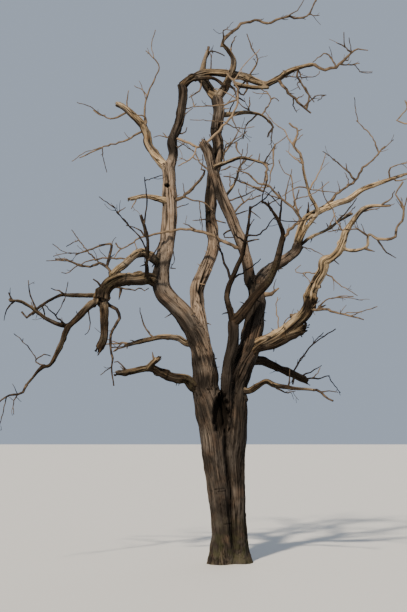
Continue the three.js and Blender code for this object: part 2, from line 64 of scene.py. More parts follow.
# The line of sight that the limbs are measured along, in millimetres
SIGHT_ACROSS = -398.0
SIGHT_DISTANCE = 20000.0
EYE_HEIGHT = 2325.0
AIM_HEIGHT = 3810.0
VIEW_HEIGHT = 9180.0
SENSOR = 36.0
CLIP_END = 200.0

# The seeded rule for the coarse twigs, as in the solids
TWIGS_PER_METRE = 1.5
FIRST_TWIG_SHARE = 0.3
TWIG_LENGTH = 430.0
TWIG_ANGLE_LOW = 0.6
TWIG_ANGLE_SPREAD = 0.55
TWIG_KINK = 0.42
TWIG_LIFT = 0.16
TWIG_TURN = 2.2
TWIG_SPAN = 0.98
TWIG_TIP_WIDTH = 11.0
TWIG_TAPER = 4.0
TWIG_BASE_SHARE = 0.6
WIDEST_TWIG = 30.0
TWIG_PIECES = 2
TWIG_SAMPLES = 12
TWIG_ROOM = 14.0
ROOM_CHECKS = (0, 0.25, 0.5, 0.75, 1)
ROOM_STRIDE = 4
AXIS_SAMPLES = 80
SEEDS_PER_MASS = 31
FIRST_MASS_SEED = 101
LEFT_CORE_DEPTH = -30.0
RIGHT_CORE_DEPTH = 40.0

# The finer twigs that only this script grows
FINE_PER_METRE = 2.2
FINE_LENGTH = 150.0
FINE_WIDTH = 10.0
FINE_TIP_WIDTH = 6.0
SHOOT_LEAN = 0.9
SHOOT_TIP_SHARE = 0.5
STUB_WIDTH = 40.0
STUB_TIP_SHARE = 0.2
SHOOT_SEED = 9
STEM_SPLIT = -300.0
THINNEST_WOOD = 58.0
TWIG_FROM_WIDTH = 40.0
TWIG_OVERLAP = 3
RUN_ON_SHARE = 0.85
RIDGE_GNARL = 1.3

# The grown-together surfaces, in metres
STEM_VOXEL = 0.0115
BOUGH_VOXEL = 0.0082
MOST_TRIANGLES = 194000


STATES = 2 ** 32
SEED_FACTOR = 747796405
STEP_FACTOR = 1664525
STEP_SHIFT = 1013904223


def seeded(seed):
    """Random numbers that come out the same every time, as in the solids."""
    state = (seed * SEED_FACTOR + 1) % STATES
    while True:
        state = (state * STEP_FACTOR + STEP_SHIFT) % STATES
        yield state / STATES


def unit(v):
    return v / np.linalg.norm(v)


def run_along(points):
    """How far along a path each of its stops lies."""
    return np.concatenate([[0], np.cumsum(np.linalg.norm(np.diff(points, axis=0), axis=1))])


SIGHT_TILT = math.atan2(AIM_HEIGHT - EYE_HEIGHT, SIGHT_DISTANCE)
EYE = np.array([SIGHT_ACROSS, -SIGHT_DISTANCE, EYE_HEIGHT])


def on_sight_line(front):
    """Places of the front view (across, depth, up), moved along their lines of sight."""
    rise = front[:, 2] - AIM_HEIGHT
    ray = np.stack([
        front[:, 0] - SIGHT_ACROSS,
        SIGHT_DISTANCE - rise * math.sin(SIGHT_TILT),
        AIM_HEIGHT - EYE_HEIGHT + rise * math.cos(SIGHT_TILT),
    ], axis=1)
    reach = (SIGHT_DISTANCE + front[:, 1]) / ray[:, 1]
    return EYE + ray * reach[:, None], reach


CURVE_GRID = 201
LEAST_SQUARE = 1e-16


def curve_points(points, samples):
    """Evenly spaced places on a centripetal Catmull-Rom curve through the points."""
    points = np.asarray(points, dtype=float)
    ends = [2 * points[0] - points[1], *points, 2 * points[-1] - points[-2]]
    last = len(points) - 1

    def at(t):
        k = min(int(t * last), last - 1)
        part = t * last - k
        p0, p1, p2, p3 = ends[k:k + 4]
        d0, d1, d2 = (max(np.sum((b - a) ** 2), LEAST_SQUARE) ** 0.25
                      for a, b in ((p0, p1), (p1, p2), (p2, p3)))
        out = ((p1 - p0) / d0 - (p2 - p0) / (d0 + d1) + (p2 - p1) / d1) * d1
        back = ((p2 - p1) / d1 - (p3 - p1) / (d1 + d2) + (p3 - p2) / d2) * d1
        return (p1 + out * part + (3 * (p2 - p1) - 2 * out - back) * part ** 2
                + (2 * (p1 - p2) + out + back) * part ** 3)

    grid = np.linspace(0, 1, CURVE_GRID)
    run = run_along(np.array([at(t) for t in grid]))
    wanted = np.linspace(0, run[-1], samples + 1)
    return np.array([at(t) for t in np.interp(wanted, run, grid)])


class Axis:
    """A limb's axis in millimetres: places in space, widths, and places and length in front."""

    def __init__(self, points, widths, front=None, length=0.0):
        self.points = points
        self.widths = widths
        self.front = front
        self.length = length


def axis_of(stops):
    """stops are (across, depth, up, width) in millimetres."""
    stops = np.asarray(stops, dtype=float)
    front = curve_points(stops[:, :3], AXIS_SAMPLES)
    run = run_along(stops[:, :3])
    widths = np.interp(np.linspace(0, run[-1], AXIS_SAMPLES + 1), run, stops[:, 3])
    points, reach = on_sight_line(front)
    return Axis(points, widths * reach, front, run[-1])


# What has grown: each limb's axis, the axes that shoots may leave from, the limb that another one
# runs on from, the limbs of the surfaces, the twigs' paths, and the room that is taken
limbs = {}
carriers_of = {}
runs_on_from = {}
wood = []
twig_paths = []
occupied = []


def occupy(axis, owner):
    for i in range(ROOM_STRIDE, len(axis.points), ROOM_STRIDE):
        before = i - ROOM_STRIDE
        radius = max(axis.widths[before], axis.widths[i]) / 2
        occupied.append((axis.points[before], axis.points[i], radius, owner))


def gaps_in_front_view(front, place):
    return np.hypot(front[:, 0] - place[0], front[:, 2] - place[1])


def spread(parent, base, tip, depth, route):
    """A limb's stops, its first one moved onto the axis of its parent."""
    front = limbs[parent].front
    start = front[np.argmin(gaps_in_front_view(front, route[0]))]
    flat = np.array([stop[:2] for stop in route], dtype=float)
    run = run_along(flat)
    known = [(0.0, start[1])]
    known += [(run[i], stop[2]) for i, stop in enumerate(route[:-1]) if i and len(stop) > 2]
    known.append((run[-1], depth))
    depths = np.interp(run, [k[0] for k in known], [k[1] for k in known])
    widths = base + (tip - base) * run / run[-1]
    flat[0] = start[0], start[2]
    return np.stack([flat[:, 0], depths, flat[:, 1], widths], axis=1)


def leaves_sideways(name, parent, route):
    """Whether a limb leaves its parent's side, and doesn't run on from its end."""
    nearest = np.argmin(gaps_in_front_view(limbs[parent].front, route[0]))
    if nearest < RUN_ON_SHARE * AXIS_SAMPLES:
        return True
    runs_on_from[name] = parent
    return False


def add_wood(name, axis, collar, tone, group, broken, gnarl):
    """Tone is 0 for dark and 1 for pale wood, also holding painted shadow on the trunk and lower
    stems, and gnarl is how crooked and knotty a limb is.
    """
    wood.append({"name": name, "axis": axis, "collar": collar, "tone": tone, "group": group,
                 "broken": broken, "gnarl": gnarl, "seed": len(wood) + 1})


def bough(name, parent, base, tip, depth, *route, tone=0.5, group="stems", broken=False,
          gnarl=1.0):
    """A limb from its parent, its widths and its tip's depth, then stops (across, up, depth)."""
    axis = axis_of(spread(parent, base, tip, depth, route))
    add_wood(name, axis, leaves_sideways(name, parent, route), tone, group, broken, gnarl)
    limbs[name] = axis
    carriers_of[name] = [axis]
    occupy(axis, name)


def has_room(points, width, owner):
    """Whether a twig keeps clear of all that belongs to other owners."""
    others = [c for c in occupied if c[3] != owner]
    start = np.array([c[0] for c in others])
    along = np.array([c[1] for c in others]) - start
    radius = np.array([c[2] for c in others])
    squared = np.sum(along ** 2, axis=1)
    for a, b in zip(points[:-1], points[1:]):
        for share in ROOM_CHECKS:
            point = a + (b - a) * share
            part = np.clip(np.sum((point - start) * along, axis=1) / squared, 0, 1)
            gap = np.linalg.norm(start + along * part[:, None] - point, axis=1) - radius
            if gap.min() < width / 2 + TWIG_ROOM:
                return False
    return True


def turned(v, about, angle):
    return (v * math.cos(angle) + np.cross(about, v) * math.sin(angle)
            + about * np.dot(about, v) * (1 - math.cos(angle)))


def twig_points(points, index, turn, length, pieces, draw):
    """One twig of the rule, crooked and rising a little."""
    ahead = points[min(index + 2, len(points) - 1)]
    behind = points[max(index - 2, 0)]
    along = unit(ahead - behind)
    side = turned(unit(np.cross([0.0, 0.0, 1.0], along)), along, turn)
    lean = TWIG_ANGLE_LOW + TWIG_ANGLE_SPREAD * next(draw)
    heading = along * math.cos(lean) + side * math.sin(lean)
    path = [points[index]]
    for _ in range(pieces):
        nudge = np.array([next(draw) - 0.5, next(draw) - 0.5, next(draw) - 0.5 + TWIG_LIFT])
        heading = unit(heading + nudge * 2 * TWIG_KINK)
        path.append(path[-1] + heading * (length / pieces))
    return np.array(path)


def straight_axis(points, base, tip):
    return Axis(curve_points(points, TWIG_SAMPLES), np.linspace(base, tip, TWIG_SAMPLES + 1))


mass_seeds = itertools.count(FIRST_MASS_SEED)


def mass(name, parent, base, tip, depth, route, leaders=(), tone=0.4, group="left", broken=False,
         gnarl=1.0):
    """A mass of bare twigs: a stem, leading twigs and seeded ones on them all.

    A leader is its two widths, its tip's depth and its stops. A thick stem is wood, and twigs
    grow on from it. The finer twigs are added to all of them later.
    """
    mass_seed = next(mass_seeds)
    stem = axis_of(spread(parent, base, tip, depth, route))
    thin_from = 0
    if base >= THINNEST_WOOD:
        thick = int(np.sum(stem.widths > TWIG_FROM_WIDTH))
        thin_from = len(stem.points) if broken else max(0, thick - TWIG_OVERLAP)
        add_wood(name, Axis(stem.points[:thick], stem.widths[:thick]),
                 leaves_sideways(name, parent, route), tone, group, broken, gnarl)
    limbs[name] = stem
    occupy(stem, name)
    carriers = [stem]
    for leader_base, leader_tip, leader_depth, *leader_route in leaders:
        axis = axis_of(spread(name, leader_base, leader_tip, leader_depth, leader_route))
        occupy(axis, name)
        carriers.append(axis)
    grown = list(carriers)
    for index, carrier in enumerate(carriers):
        draw = seeded(mass_seed * SEEDS_PER_MASS + index)
        count = math.floor(carrier.length / 1000 * TWIGS_PER_METRE + 0.5)
        for i in range(count):
            share = (i + next(draw)) / count
            share = FIRST_TWIG_SHARE + (1 - FIRST_TWIG_SHARE) * share * TWIG_SPAN
            turn = math.pi * (i % 2) + (next(draw) - 0.5) * TWIG_TURN
            length = TWIG_LENGTH * (0.5 + next(draw))
            place = math.floor(share * AXIS_SAMPLES + 0.5)
            points = twig_points(carrier.points, place, turn, length, TWIG_PIECES, draw)
            base_width = min(WIDEST_TWIG, max(TWIG_TIP_WIDTH + TWIG_TAPER,
                                              carrier.widths[place] * TWIG_BASE_SHARE))
            if not has_room(points, base_width, name):
                continue
            axis = straight_axis(points, base_width, TWIG_TIP_WIDTH)
            occupy(axis, name)
            grown.append(axis)
    carriers_of[name] = carriers
    for axis in grown:
        if axis is stem:
            axis = Axis(stem.points[thin_from:], stem.widths[thin_from:])
        if len(axis.points) > 2:
            twig_paths.append({"axis": axis, "tone": tone, "group": group, "owner": name})


def core(name, depth, tone, stops):
    """One of the trunk's two stems, its stops (across, up, width) from the ground."""
    axis = axis_of([(across, depth, up, width) for across, up, width in stops])
    limbs[name] = axis
    occupy(axis, "trunk")
    add_wood(name, axis, collar=False, tone=tone, group="stems", broken=False, gnarl=1.0)


# The trunk and the lower stems have low tones: partly darker bark and partly painted shadow over
# the lower tree
# The trunk: two stems grown together
core("trunk", LEFT_CORE_DEPTH, 0.06, [
    (-142, -100, 440), (-126, 120, 372), (-115, 400, 328), (-155, 980, 350), (-205, 1560, 410),
    (-235, 1905, 440), (-330, 2370, 450), (-372, 2560, 420), (-380, 2700, 360)])
core("trunk_right", RIGHT_CORE_DEPTH, -0.04, [
    (168, -100, 390), (138, 120, 310), (116, 400, 268), (100, 1080, 280), (75, 1560, 360),
    (75, 1905, 390), (62, 2370, 440), (75, 2560, 400), (110, 2700, 340)])

# The left stem and what it carries
bough("left_stem", "trunk", 450, 300, -10, (-330, 2370), (-372, 2560), (-370, 2750),
      (-396, 2955), (-440, 3180), (-540, 3440), tone=0.18)
bough("left_bough", "left_stem", 285, 250, 60, (-525, 3400), (-698, 3668), (-915, 3900),
      (-1015, 4060), (-1035, 4330), tone=0.58, gnarl=1.2)
bough("left_upright", "left_bough", 230, 212, 100, (-1035, 4300), (-975, 4605), (-925, 4950),
      (-908, 5400), (-910, 5700), (-930, 5960), tone=1.2)
bough("centre_stem", "left_stem", 260, 172, 320, (-400, 3150), (-462, 3525, 120),
      (-505, 3900, 240), (-500, 4090), (-352, 4440), (-270, 4635), (-243, 4800), tone=1.2)
bough("centre_upright", "centre_stem", 172, 182, 60, (-243, 4770), (-295, 5110, 290),
      (-276, 5400, 260), (-255, 5835, 210), (-165, 6200, 150), (-198, 6420), (-180, 6720),
      (-195, 6960), tone=0.66, gnarl=1.2)
bough("upper_left_bough", "left_upright", 165, 125, 450, (-930, 5850), (-1050, 5985),
      (-1148, 6098), (-1228, 6255), (-1248, 6420), tone=0.38, group="left", gnarl=1.2)
bough("top_left_bough", "left_upright", 170, 128, 20, (-915, 5840), (-858, 6060),
      (-876, 6290), (-767, 6546), (-722, 6830), (-712, 7050), (-728, 7140), tone=0.2, gnarl=1.4)
bough("top_arch", "top_left_bough", 125, 108, -60, (-727, 7100), (-610, 7200), (-465, 7262),
      (-150, 7300), (165, 7262), (495, 7140), tone=0.5, group="top", gnarl=1.8)
bough("top_right_bough", "top_arch", 108, 66, -500, (470, 7150), (555, 7131), (650, 7185),
      (840, 7305), (1050, 7395), (1275, 7435), tone=0.45, group="top", gnarl=1.8)

# The right stem and what it carries
# Low tones on the right and front stems: partly darker bark, partly painted shadow
bough("right_stem", "trunk_right", 440, 235, 20, (62, 2370), (75, 2560), (158, 2850),
      (270, 3150), (318, 3405), (380, 3750), (390, 4110), tone=0.15, gnarl=1.1)
bough("front_stem", "trunk_right", 188, 165, -250, (-62, 2380), (-62, 2520, -190),
      (-20, 2940, -225), (38, 3225), (54, 3590), tone=-0.2, gnarl=1.2)
bough("broken_bough", "right_stem", 190, 150, -190, (385, 4040), (300, 4200), (237, 4553),
      (165, 4785), (60, 5010), (-100, 5410), (-240, 5790), (-322, 6128), (-372, 6215),
      tone=0.72, broken=True)
bough("right_bough", "right_stem", 180, 160, 300, (388, 4060), (420, 4150), (537, 4335),
      (675, 4425), (786, 4488), (930, 4590), (1035, 4725), tone=0.45, gnarl=1.5)
bough("front_right_bough", "front_stem", 165, 95, -480, (54, 3550), (210, 3741, -300),
      (423, 4000, -330), (594, 4239), (690, 4455), (795, 4853),
      tone=-0.15, group="right", gnarl=1.3)
bough("lower_right_bough", "right_stem", 200, 185, -500, (250, 3100), (450, 3215), (594, 3291),
      (786, 3405), (975, 3551), (1120, 3690), (1215, 3840), tone=0.30, group="right", gnarl=1.6)
bough("middle_right_bough", "lower_right_bough", 195, 128, -850, (1205, 3815), (1210, 4050),
      (1280, 4200), (1395, 4368), (1420, 4485), (1530, 4540), (1645, 4655), (1704, 4805),
      tone=0.86, group="right", gnarl=2.4)
bough("right_reach", "right_bough", 118, 100, 560, (1025, 4710), (1020, 4845), (1080, 5010),
      (1164, 5148), (1280, 5205), (1545, 5318), (1704, 5378), tone=0.95, group="right", gnarl=1.5)

# The two strands on the left that join and break up again
bough("left_low_bough", "left_bough", 145, 235, -300, (-1015, 4070), (-1120, 4165),
      (-1230, 4215), (-1575, 4230), (-1700, 4205), (-1840, 4130), (-1920, 4020), (-1950, 3900),
      tone=0.16, group="left", gnarl=2.4)
bough("left_high_bough", "left_upright", 125, 118, -220, (-1020, 4440), (-1170, 4515),
      (-1310, 4615), (-1402, 4596), (-1635, 4390), (-1800, 4240),
      tone=0.38, group="left", gnarl=2.4)
bough("drooping_bough", "left_low_bough", 118, 66, -700, (-1945, 3930), (-2085, 3812),
      (-2303, 3611), (-2440, 3480), (-2520, 3266), (-2661, 2979), (-2718, 2910),
      tone=-0.02, group="left", gnarl=1.8)
bough("hanging_stub", "left_low_bough", 130, 140, -240, (-1940, 3960), (-1895, 3800),
      (-1886, 3420), (-1905, 3285), (-1958, 3180), tone=0.02, group="left", gnarl=1.5, broken=True)

# Lower arms, stubs and the boughs that lean away at the back
bough("knotty_arm", "left_stem", 178, 80, -500, (-365, 2600), (-540, 2600), (-640, 2690),
      (-855, 2740), (-1070, 2820), (-1185, 2865), (-1400, 2840), (-1710, 2796),
      tone=0.1, group="left", gnarl=2.4, broken=True)
bough("knotty_stub", "knotty_arm", 100, 92, -420, (-1240, 2868), (-1180, 2925), (-1095, 3010),
      tone=0.2, group="left", gnarl=2.0, broken=True)
bough("pale_stub", "left_upright", 108, 68, -150, (-910, 5355), (-1101, 5424), (-1320, 5448),
      (-1491, 5415), tone=0.75, group="left", gnarl=1.5, broken=True)
bough("back_bough", "centre_stem", 130, 62, 1500, (-490, 4100), (-400, 4400, 720),
      (-265, 4700, 1050), (-285, 5150, 1300), (-262, 5550), tone=0.5, group="right", gnarl=1.2)
bough("rear_right_bough", "right_stem", 135, 60, 1350, (385, 3900), (330, 4180, 480),
      (225, 4600, 850), (80, 5000, 1120), (-40, 5260), tone=0.5, group="right", gnarl=1.2)


def ridge(name, tone, group, stops, broken=False):
    """Wood that the solids leave out, its stops (across, depth, up, width)."""
    add_wood(name, axis_of(stops), collar=False, tone=tone, group=group, broken=broken,
             gnarl=RIDGE_GNARL)


ridge("ridge_below_front_stem", 0.08, "stems",
      [(-62, -190, 2560, 190), (-50, -150, 2350, 190), (-10, -95, 2050, 175), (20, -40, 1700, 140)])
ridge("lip_below_lower_right_bough", 0.12, "right",
      [(450, -60, 3190, 150), (620, -150, 3250, 170), (800, -230, 3315, 175),
       (960, -300, 3390, 165), (1075, -350, 3450, 140)], broken=True)

# Masses at the top
mass("crown_twigs", "centre_upright", 150, 48, -150,
     [(-190, 6940), (-84, 7080, 0), (-12, 7240, -170), (40, 7330, -190), (57, 7475),
      (-39, 7665), (-115, 7743)],
     [(44, 18, -180, (-115, 7740), (-69, 7835), (177, 8031), (400, 8098), (540, 8045), (825, 8145),
       (1107, 8129), (1230, 8265), (1335, 8600)),
      (30, 12, -450, (-110, 7735), (-100, 7950))],
     tone=0.35, group="top", gnarl=1.6)
mass("left_fork_twigs", "centre_upright", 122, 34, 380,
     [(-200, 6930), (-306, 7050, 140), (-400, 7215, 200), (-411, 7343), (-352, 7590), (-315, 7700)],
     [(28, 14, 700, (-395, 7480), (-285, 7640), (-150, 7600), (-80, 7560))],
     tone=0.25, group="top", gnarl=1.4)
mass("top_right_twigs", "top_right_bough", 55, 14, -900,
     [(1260, 7430), (1353, 7372), (1568, 7386), (1655, 7455), (1818, 7602), (1887, 7653),
      (2067, 7648)],
     [(26, 12, -400, (1590, 7395), (1470, 7590), (1360, 7565), (1240, 7470)),
      (26, 12, -1100, (1818, 7602), (1755, 7680), (1600, 7760)),
      (24, 12, -500, (1640, 7440), (1765, 7425), (1945, 7448))],
     tone=0.4, group="top")
mass("hanging_right_twigs", "top_right_bough", 48, 24, -100,
     [(705, 7220), (840, 7055, -320), (990, 6905), (1095, 6792), (1210, 6705)],
     [(30, 20, -350, (1150, 6760), (1190, 6965), (1080, 7140), (1010, 7250)),
      (24, 12, 100, (1100, 6790), (1300, 6965), (1440, 6975))],
     tone=0.35, group="top")
mass("leaning_pale_twigs", "top_left_bough", 40, 24, -330,
     [(-850, 6320), (-652, 6279), (-465, 6195, -40), (-300, 6310, -90), (-63, 6555, -120),
      (60, 6720, -150), (126, 7058, -230), (30, 7200, -300), (-42, 7300)],
     [(24, 14, -320, (-500, 6225), (-560, 6040), (-780, 5910))],
     tone=0.9, group="top")
mass("upper_left_twigs", "upper_left_bough", 128, 82, 800,
     [(-1247, 6390), (-1323, 6525), (-1440, 6660), (-1560, 6765), (-1674, 6840)],
     [(32, 14, 1100, (-1290, 6450), (-1540, 6300), (-1890, 6195), (-2260, 6030)),
      (30, 14, 300, (-1270, 6430), (-1275, 6840), (-1128, 7230), (-1060, 7410), (-1265, 7640)),
      (32, 16, 1000, (-1520, 6730), (-1790, 6620), (-1910, 6663), (-2045, 6750))],
     tone=0.5, group="left", gnarl=1.2, broken=True)
mass("inner_right_twigs", "centre_upright", 84, 24, 1000,
     [(-180, 6650), (96, 6700, 300), (335, 6710), (488, 6660), (640, 6489), (564, 6345)],
     [(26, 14, 1200, (480, 6665), (610, 6900), (590, 6985), (470, 7060)),
      (26, 14, 600, (411, 6681), (240, 6500), (200, 6315))],
     tone=0.45, group="top")
mass("inner_left_twigs", "left_upright", 52, 26, -330,
     [(-900, 5355), (-690, 5470), (-490, 5670), (-375, 5812), (-440, 5860)],
     [(30, 16, -60, (-720, 5455), (-540, 5400), (-345, 5333), (-255, 5240))],
     tone=0.4, group="left")
mass("hooked_twigs", "broken_bough", 78, 22, -850,
     [(-262, 5870), (-165, 5925, -250), (26, 5997), (177, 6038), (398, 5985), (538, 5922),
      (540, 5666), (504, 5525)],
     [(26, 12, -1100, (500, 5935), (680, 6240)),
      (24, 12, -600, (-100, 5960), (-50, 6240), (100, 6260))],
     tone=0.4, group="top")

# Masses in the middle and in front
mass("front_left_twigs", "front_stem", 108, 36, -650,
     [(54, 3545), (-8, 3741, -300), (-36, 4000, -330), (70, 4320, -360), (188, 4590), (273, 5018),
      (288, 5160), (305, 5310)],
     [(46, 20, -300, (0, 4190), (-75, 4420), (-140, 4620), (-190, 4720)),
      (28, 14, -1000, (250, 4850), (440, 4890), (670, 5140))],
     tone=-0.1, group="right", gnarl=1.5)
mass("front_right_twigs", "front_right_bough", 82, 26, -900,
     [(790, 4830), (788, 4920), (702, 5130), (549, 5331), (462, 5378)],
     [(32, 20, -560, (750, 5040), (768, 5265, -640), (765, 5435), (720, 5530))],
     tone=0.0, group="right", gnarl=1.4)
mass("long_pale_twigs", "front_right_bough", 48, 20, -1250,
     [(795, 4840), (960, 5025), (1050, 5080), (930, 5295), (765, 5415), (578, 5618), (425, 5640),
      (252, 5808), (90, 5838)],
     [(32, 16, -500, (1040, 5110), (960, 5445), (920, 5775)),
      (28, 16, -1150, (940, 5290), (1040, 5560))],
     tone=0.6, group="right")
mass("long_front_twigs", "broken_bough", 50, 20, -420,
     [(205, 4650), (-81, 4770, -170), (-366, 4914, -150), (-690, 4965, -140), (-915, 4930, -150),
      (-1146, 4880, -190), (-1341, 4830), (-1651, 4672), (-1720, 4758)],
     [(22, 12, -600, (-1640, 4680), (-1732, 4540))],
     tone=0.55, group="left")

# Masses on the right
mass("far_right_twigs", "right_reach", 100, 40, 500,
     [(1690, 5370), (1785, 5406), (1944, 5532), (2100, 5606), (2310, 5679), (2655, 5795),
      (2850, 5850)],
     [(36, 14, 800, (2740, 5820), (2860, 6150), (2760, 6500), (2512, 6585), (2655, 6770),
       (2625, 6900)),
      (28, 14, 300, (2390, 5710), (2397, 5870), (2512, 5930))],
     tone=0.7, group="right", gnarl=1.2)
mass("right_upright_twigs", "right_bough", 74, 24, -250,
     [(1030, 4715), (1125, 4950, 220), (1230, 5091, 200), (1312, 5220, 190), (1200, 5480),
      (1101, 5846), (1080, 6030), (951, 6228), (1011, 6429), (890, 6560)],
     [(26, 12, 100, (960, 6220), (870, 6340), (810, 6460))],
     tone=0.85, group="right")
mass("right_fan_twigs", "right_reach", 44, 20, 1050,
     [(1340, 5230), (1515, 5406), (1640, 5511), (1785, 5616), (1902, 5730), (1995, 5880),
      (2135, 5985), (2260, 6135), (2328, 6210)],
     [(30, 14, 650, (1880, 5710), (1680, 5910), (1535, 6010)),
      (24, 12, 1300, (2230, 6100), (2124, 6353), (1890, 6596))],
     tone=0.4, group="right")
mass("right_low_twigs", "right_bough", 62, 38, 1100,
     [(930, 4595), (1100, 4760, 420), (1245, 4860), (1475, 4965), (1590, 5055), (1830, 5198)],
     [(22, 12, 1400, (1700, 5120), (1875, 5300))],
     tone=0.45, group="right", gnarl=1.3)
mass("right_end_twigs", "middle_right_bough", 118, 34, -1250,
     [(1700, 4790), (1740, 4920), (1815, 5055), (2003, 5265), (2140, 5310), (2405, 5315)],
     [(26, 14, -700, (1730, 4900), (1580, 5110), (1544, 5265))],
     tone=0.55, group="right", gnarl=1.5)
mass("right_loop_twigs", "middle_right_bough", 60, 22, -900,
     [(1660, 4680), (1815, 4643), (2048, 4700), (2082, 4884), (2220, 4815), (2484, 4845),
      (2496, 4988), (2622, 5205), (2490, 5490), (2595, 5679)],
     [(28, 14, -1350, (2075, 4850), (1890, 4965), (1470, 4925))],
     tone=0.45, group="right", gnarl=1.3)
mass("right_drooping_twigs", "lower_right_bough", 46, 18, -1100,
     [(1170, 3770), (1300, 3740), (1431, 3771), (1545, 3726), (1776, 3668), (2005, 3606)],
     [(24, 14, -800, (1290, 3745), (1425, 3890), (1680, 3960), (1852, 3954))],
     tone=0.45, group="right")
mass("broken_right_twigs", "right_stem", 138, 100, 620,
     [(220, 2985), (375, 2985), (495, 2985), (780, 2855), (1125, 2705)],
     [(30, 14, 800, (1090, 2720), (1356, 2730), (1493, 2768)),
      (26, 14, 300, (930, 2790), (1035, 2970), (1252, 3244), (1585, 3465))],
     tone=-0.25, group="right", gnarl=1.6, broken=True)
mass("lowest_right_twigs", "right_stem", 112, 24, -560,
     [(75, 2545), (300, 2540, -80), (380, 2590), (540, 2680), (666, 2625), (954, 2580),
      (1344, 2520), (1413, 2441), (1551, 2385)],
     tone=0.2, group="right", gnarl=1.3)

# Masses on the left
mass("left_tip_twigs", "drooping_bough", 62, 18, -1150,
     [(-2715, 2915), (-2820, 2890), (-2991, 2706), (-3177, 2490), (-3306, 2475), (-3450, 2376),
      (-3540, 2330)],
     [(24, 14, -500, (-2750, 2905), (-2920, 2980), (-2800, 3080), (-2690, 3060))],
     tone=0.1, group="left", gnarl=1.3)
mass("left_reaching_twigs", "drooping_bough", 70, 44, -420,
     [(-2400, 3520), (-2475, 3515), (-2705, 3596), (-2904, 3725), (-3120, 3870), (-3221, 3890),
      (-3315, 3885)],
     [(34, 20, -300, (-3260, 3890), (-3321, 4005)), (24, 14, -900, (-2475, 3515), (-2780, 3825))],
     tone=0.05, group="left", gnarl=1.3)
mass("left_arc_twigs", "left_low_bough", 78, 24, 350,
     [(-1945, 3950), (-2030, 3965, -220), (-2160, 3969), (-2403, 3969), (-2520, 3975),
      (-2775, 3855), (-2976, 3683), (-3048, 3630), (-3120, 3720)],
     tone=0.1, group="left", gnarl=1.3)
mass("left_dangling_twigs", "left_low_bough", 50, 20, -420,
     [(-1935, 3990), (-1815, 3820, -190), (-1700, 3745), (-1656, 3639), (-1778, 3410),
      (-1778, 3120), (-1757, 2721), (-1743, 2613)],
     tone=0.05, group="left")
mass("left_high_twigs", "left_high_bough", 46, 20, 500,
     [(-1790, 4250), (-1830, 4380, -120), (-1976, 4450), (-2091, 4400), (-2265, 4425),
      (-2498, 4515), (-2619, 4515)],
     [(42, 18, 150, (-1850, 4400), (-1812, 4560), (-1770, 4740), (-1976, 4712), (-2126, 4643),
       (-2320, 4575)),
      (24, 12, 900, (-1960, 4445), (-2126, 4620), (-2377, 4950))],
     tone=0.2, group="left")
mass("left_riser_twigs", "left_low_bough", 64, 52, -520,
     [(-1252, 4215), (-1245, 4420, -370), (-1242, 4830), (-1299, 5055), (-1335, 5160)],
     [(24, 12, -1000, (-1245, 4600), (-1360, 4860), (-1520, 5010), (-1767, 5320)),
      (26, 12, -900, (-1290, 5020), (-1250, 5355), (-1280, 5745))],
     tone=0.05, group="left", gnarl=1.4, broken=True)
mass("left_arm_twigs", "left_stem", 118, 66, 700,
     [(-480, 3260), (-652, 3262), (-765, 3324), (-960, 3351), (-1185, 3315), (-1530, 3225)],
     [(34, 16, 950, (-1440, 3252), (-1730, 3248), (-1884, 3234)),
      (24, 14, 600, (-1500, 3235), (-1755, 3126))],
     tone=0.45, group="left", gnarl=1.6, broken=True)

# Masses on the boughs at the back
mass("back_twigs", "back_bough", 60, 18, 2050,
     [(-262, 5530), (-240, 5800, 1650), (-170, 6150), (-210, 6500), (-120, 6800)],
     [(32, 14, 1950, (-235, 5760), (-420, 5930), (-560, 6150)),
      (30, 14, 2200, (-200, 6000), (20, 6250), (150, 6480))],
     tone=0.4, group="top")
mass("rear_right_twigs", "rear_right_bough", 58, 18, 1900,
     [(-40, 5240), (-80, 5420, 1500), (60, 5640), (150, 5900), (330, 6080)],
     [(30, 14, 1750, (-60, 5380), (180, 5450), (380, 5560))],
     tone=0.4, group="top")

# More ridges: on the right side of the fork and under the arch
ridge("knob_on_the_right_side", 0.0, "stems",
      [(190, -10, 2430, 190), (232, -20, 2400, 160), (256, -25, 2378, 125)])
ridge("lower_strand_of_top_arch", 0.4, "top",
      [(60, -95, 7150, 84), (192, -110, 7112, 70), (330, -115, 7095, 66), (470, -130, 7088, 62),
       (590, -170, 7085, 48)])
ridge("strut_under_top_arch", 0.1, "top",
      [(-480, -60, 7225, 60), (-300, -75, 7228, 55), (-170, -95, 7180, 55), (-80, -120, 7100, 60)])

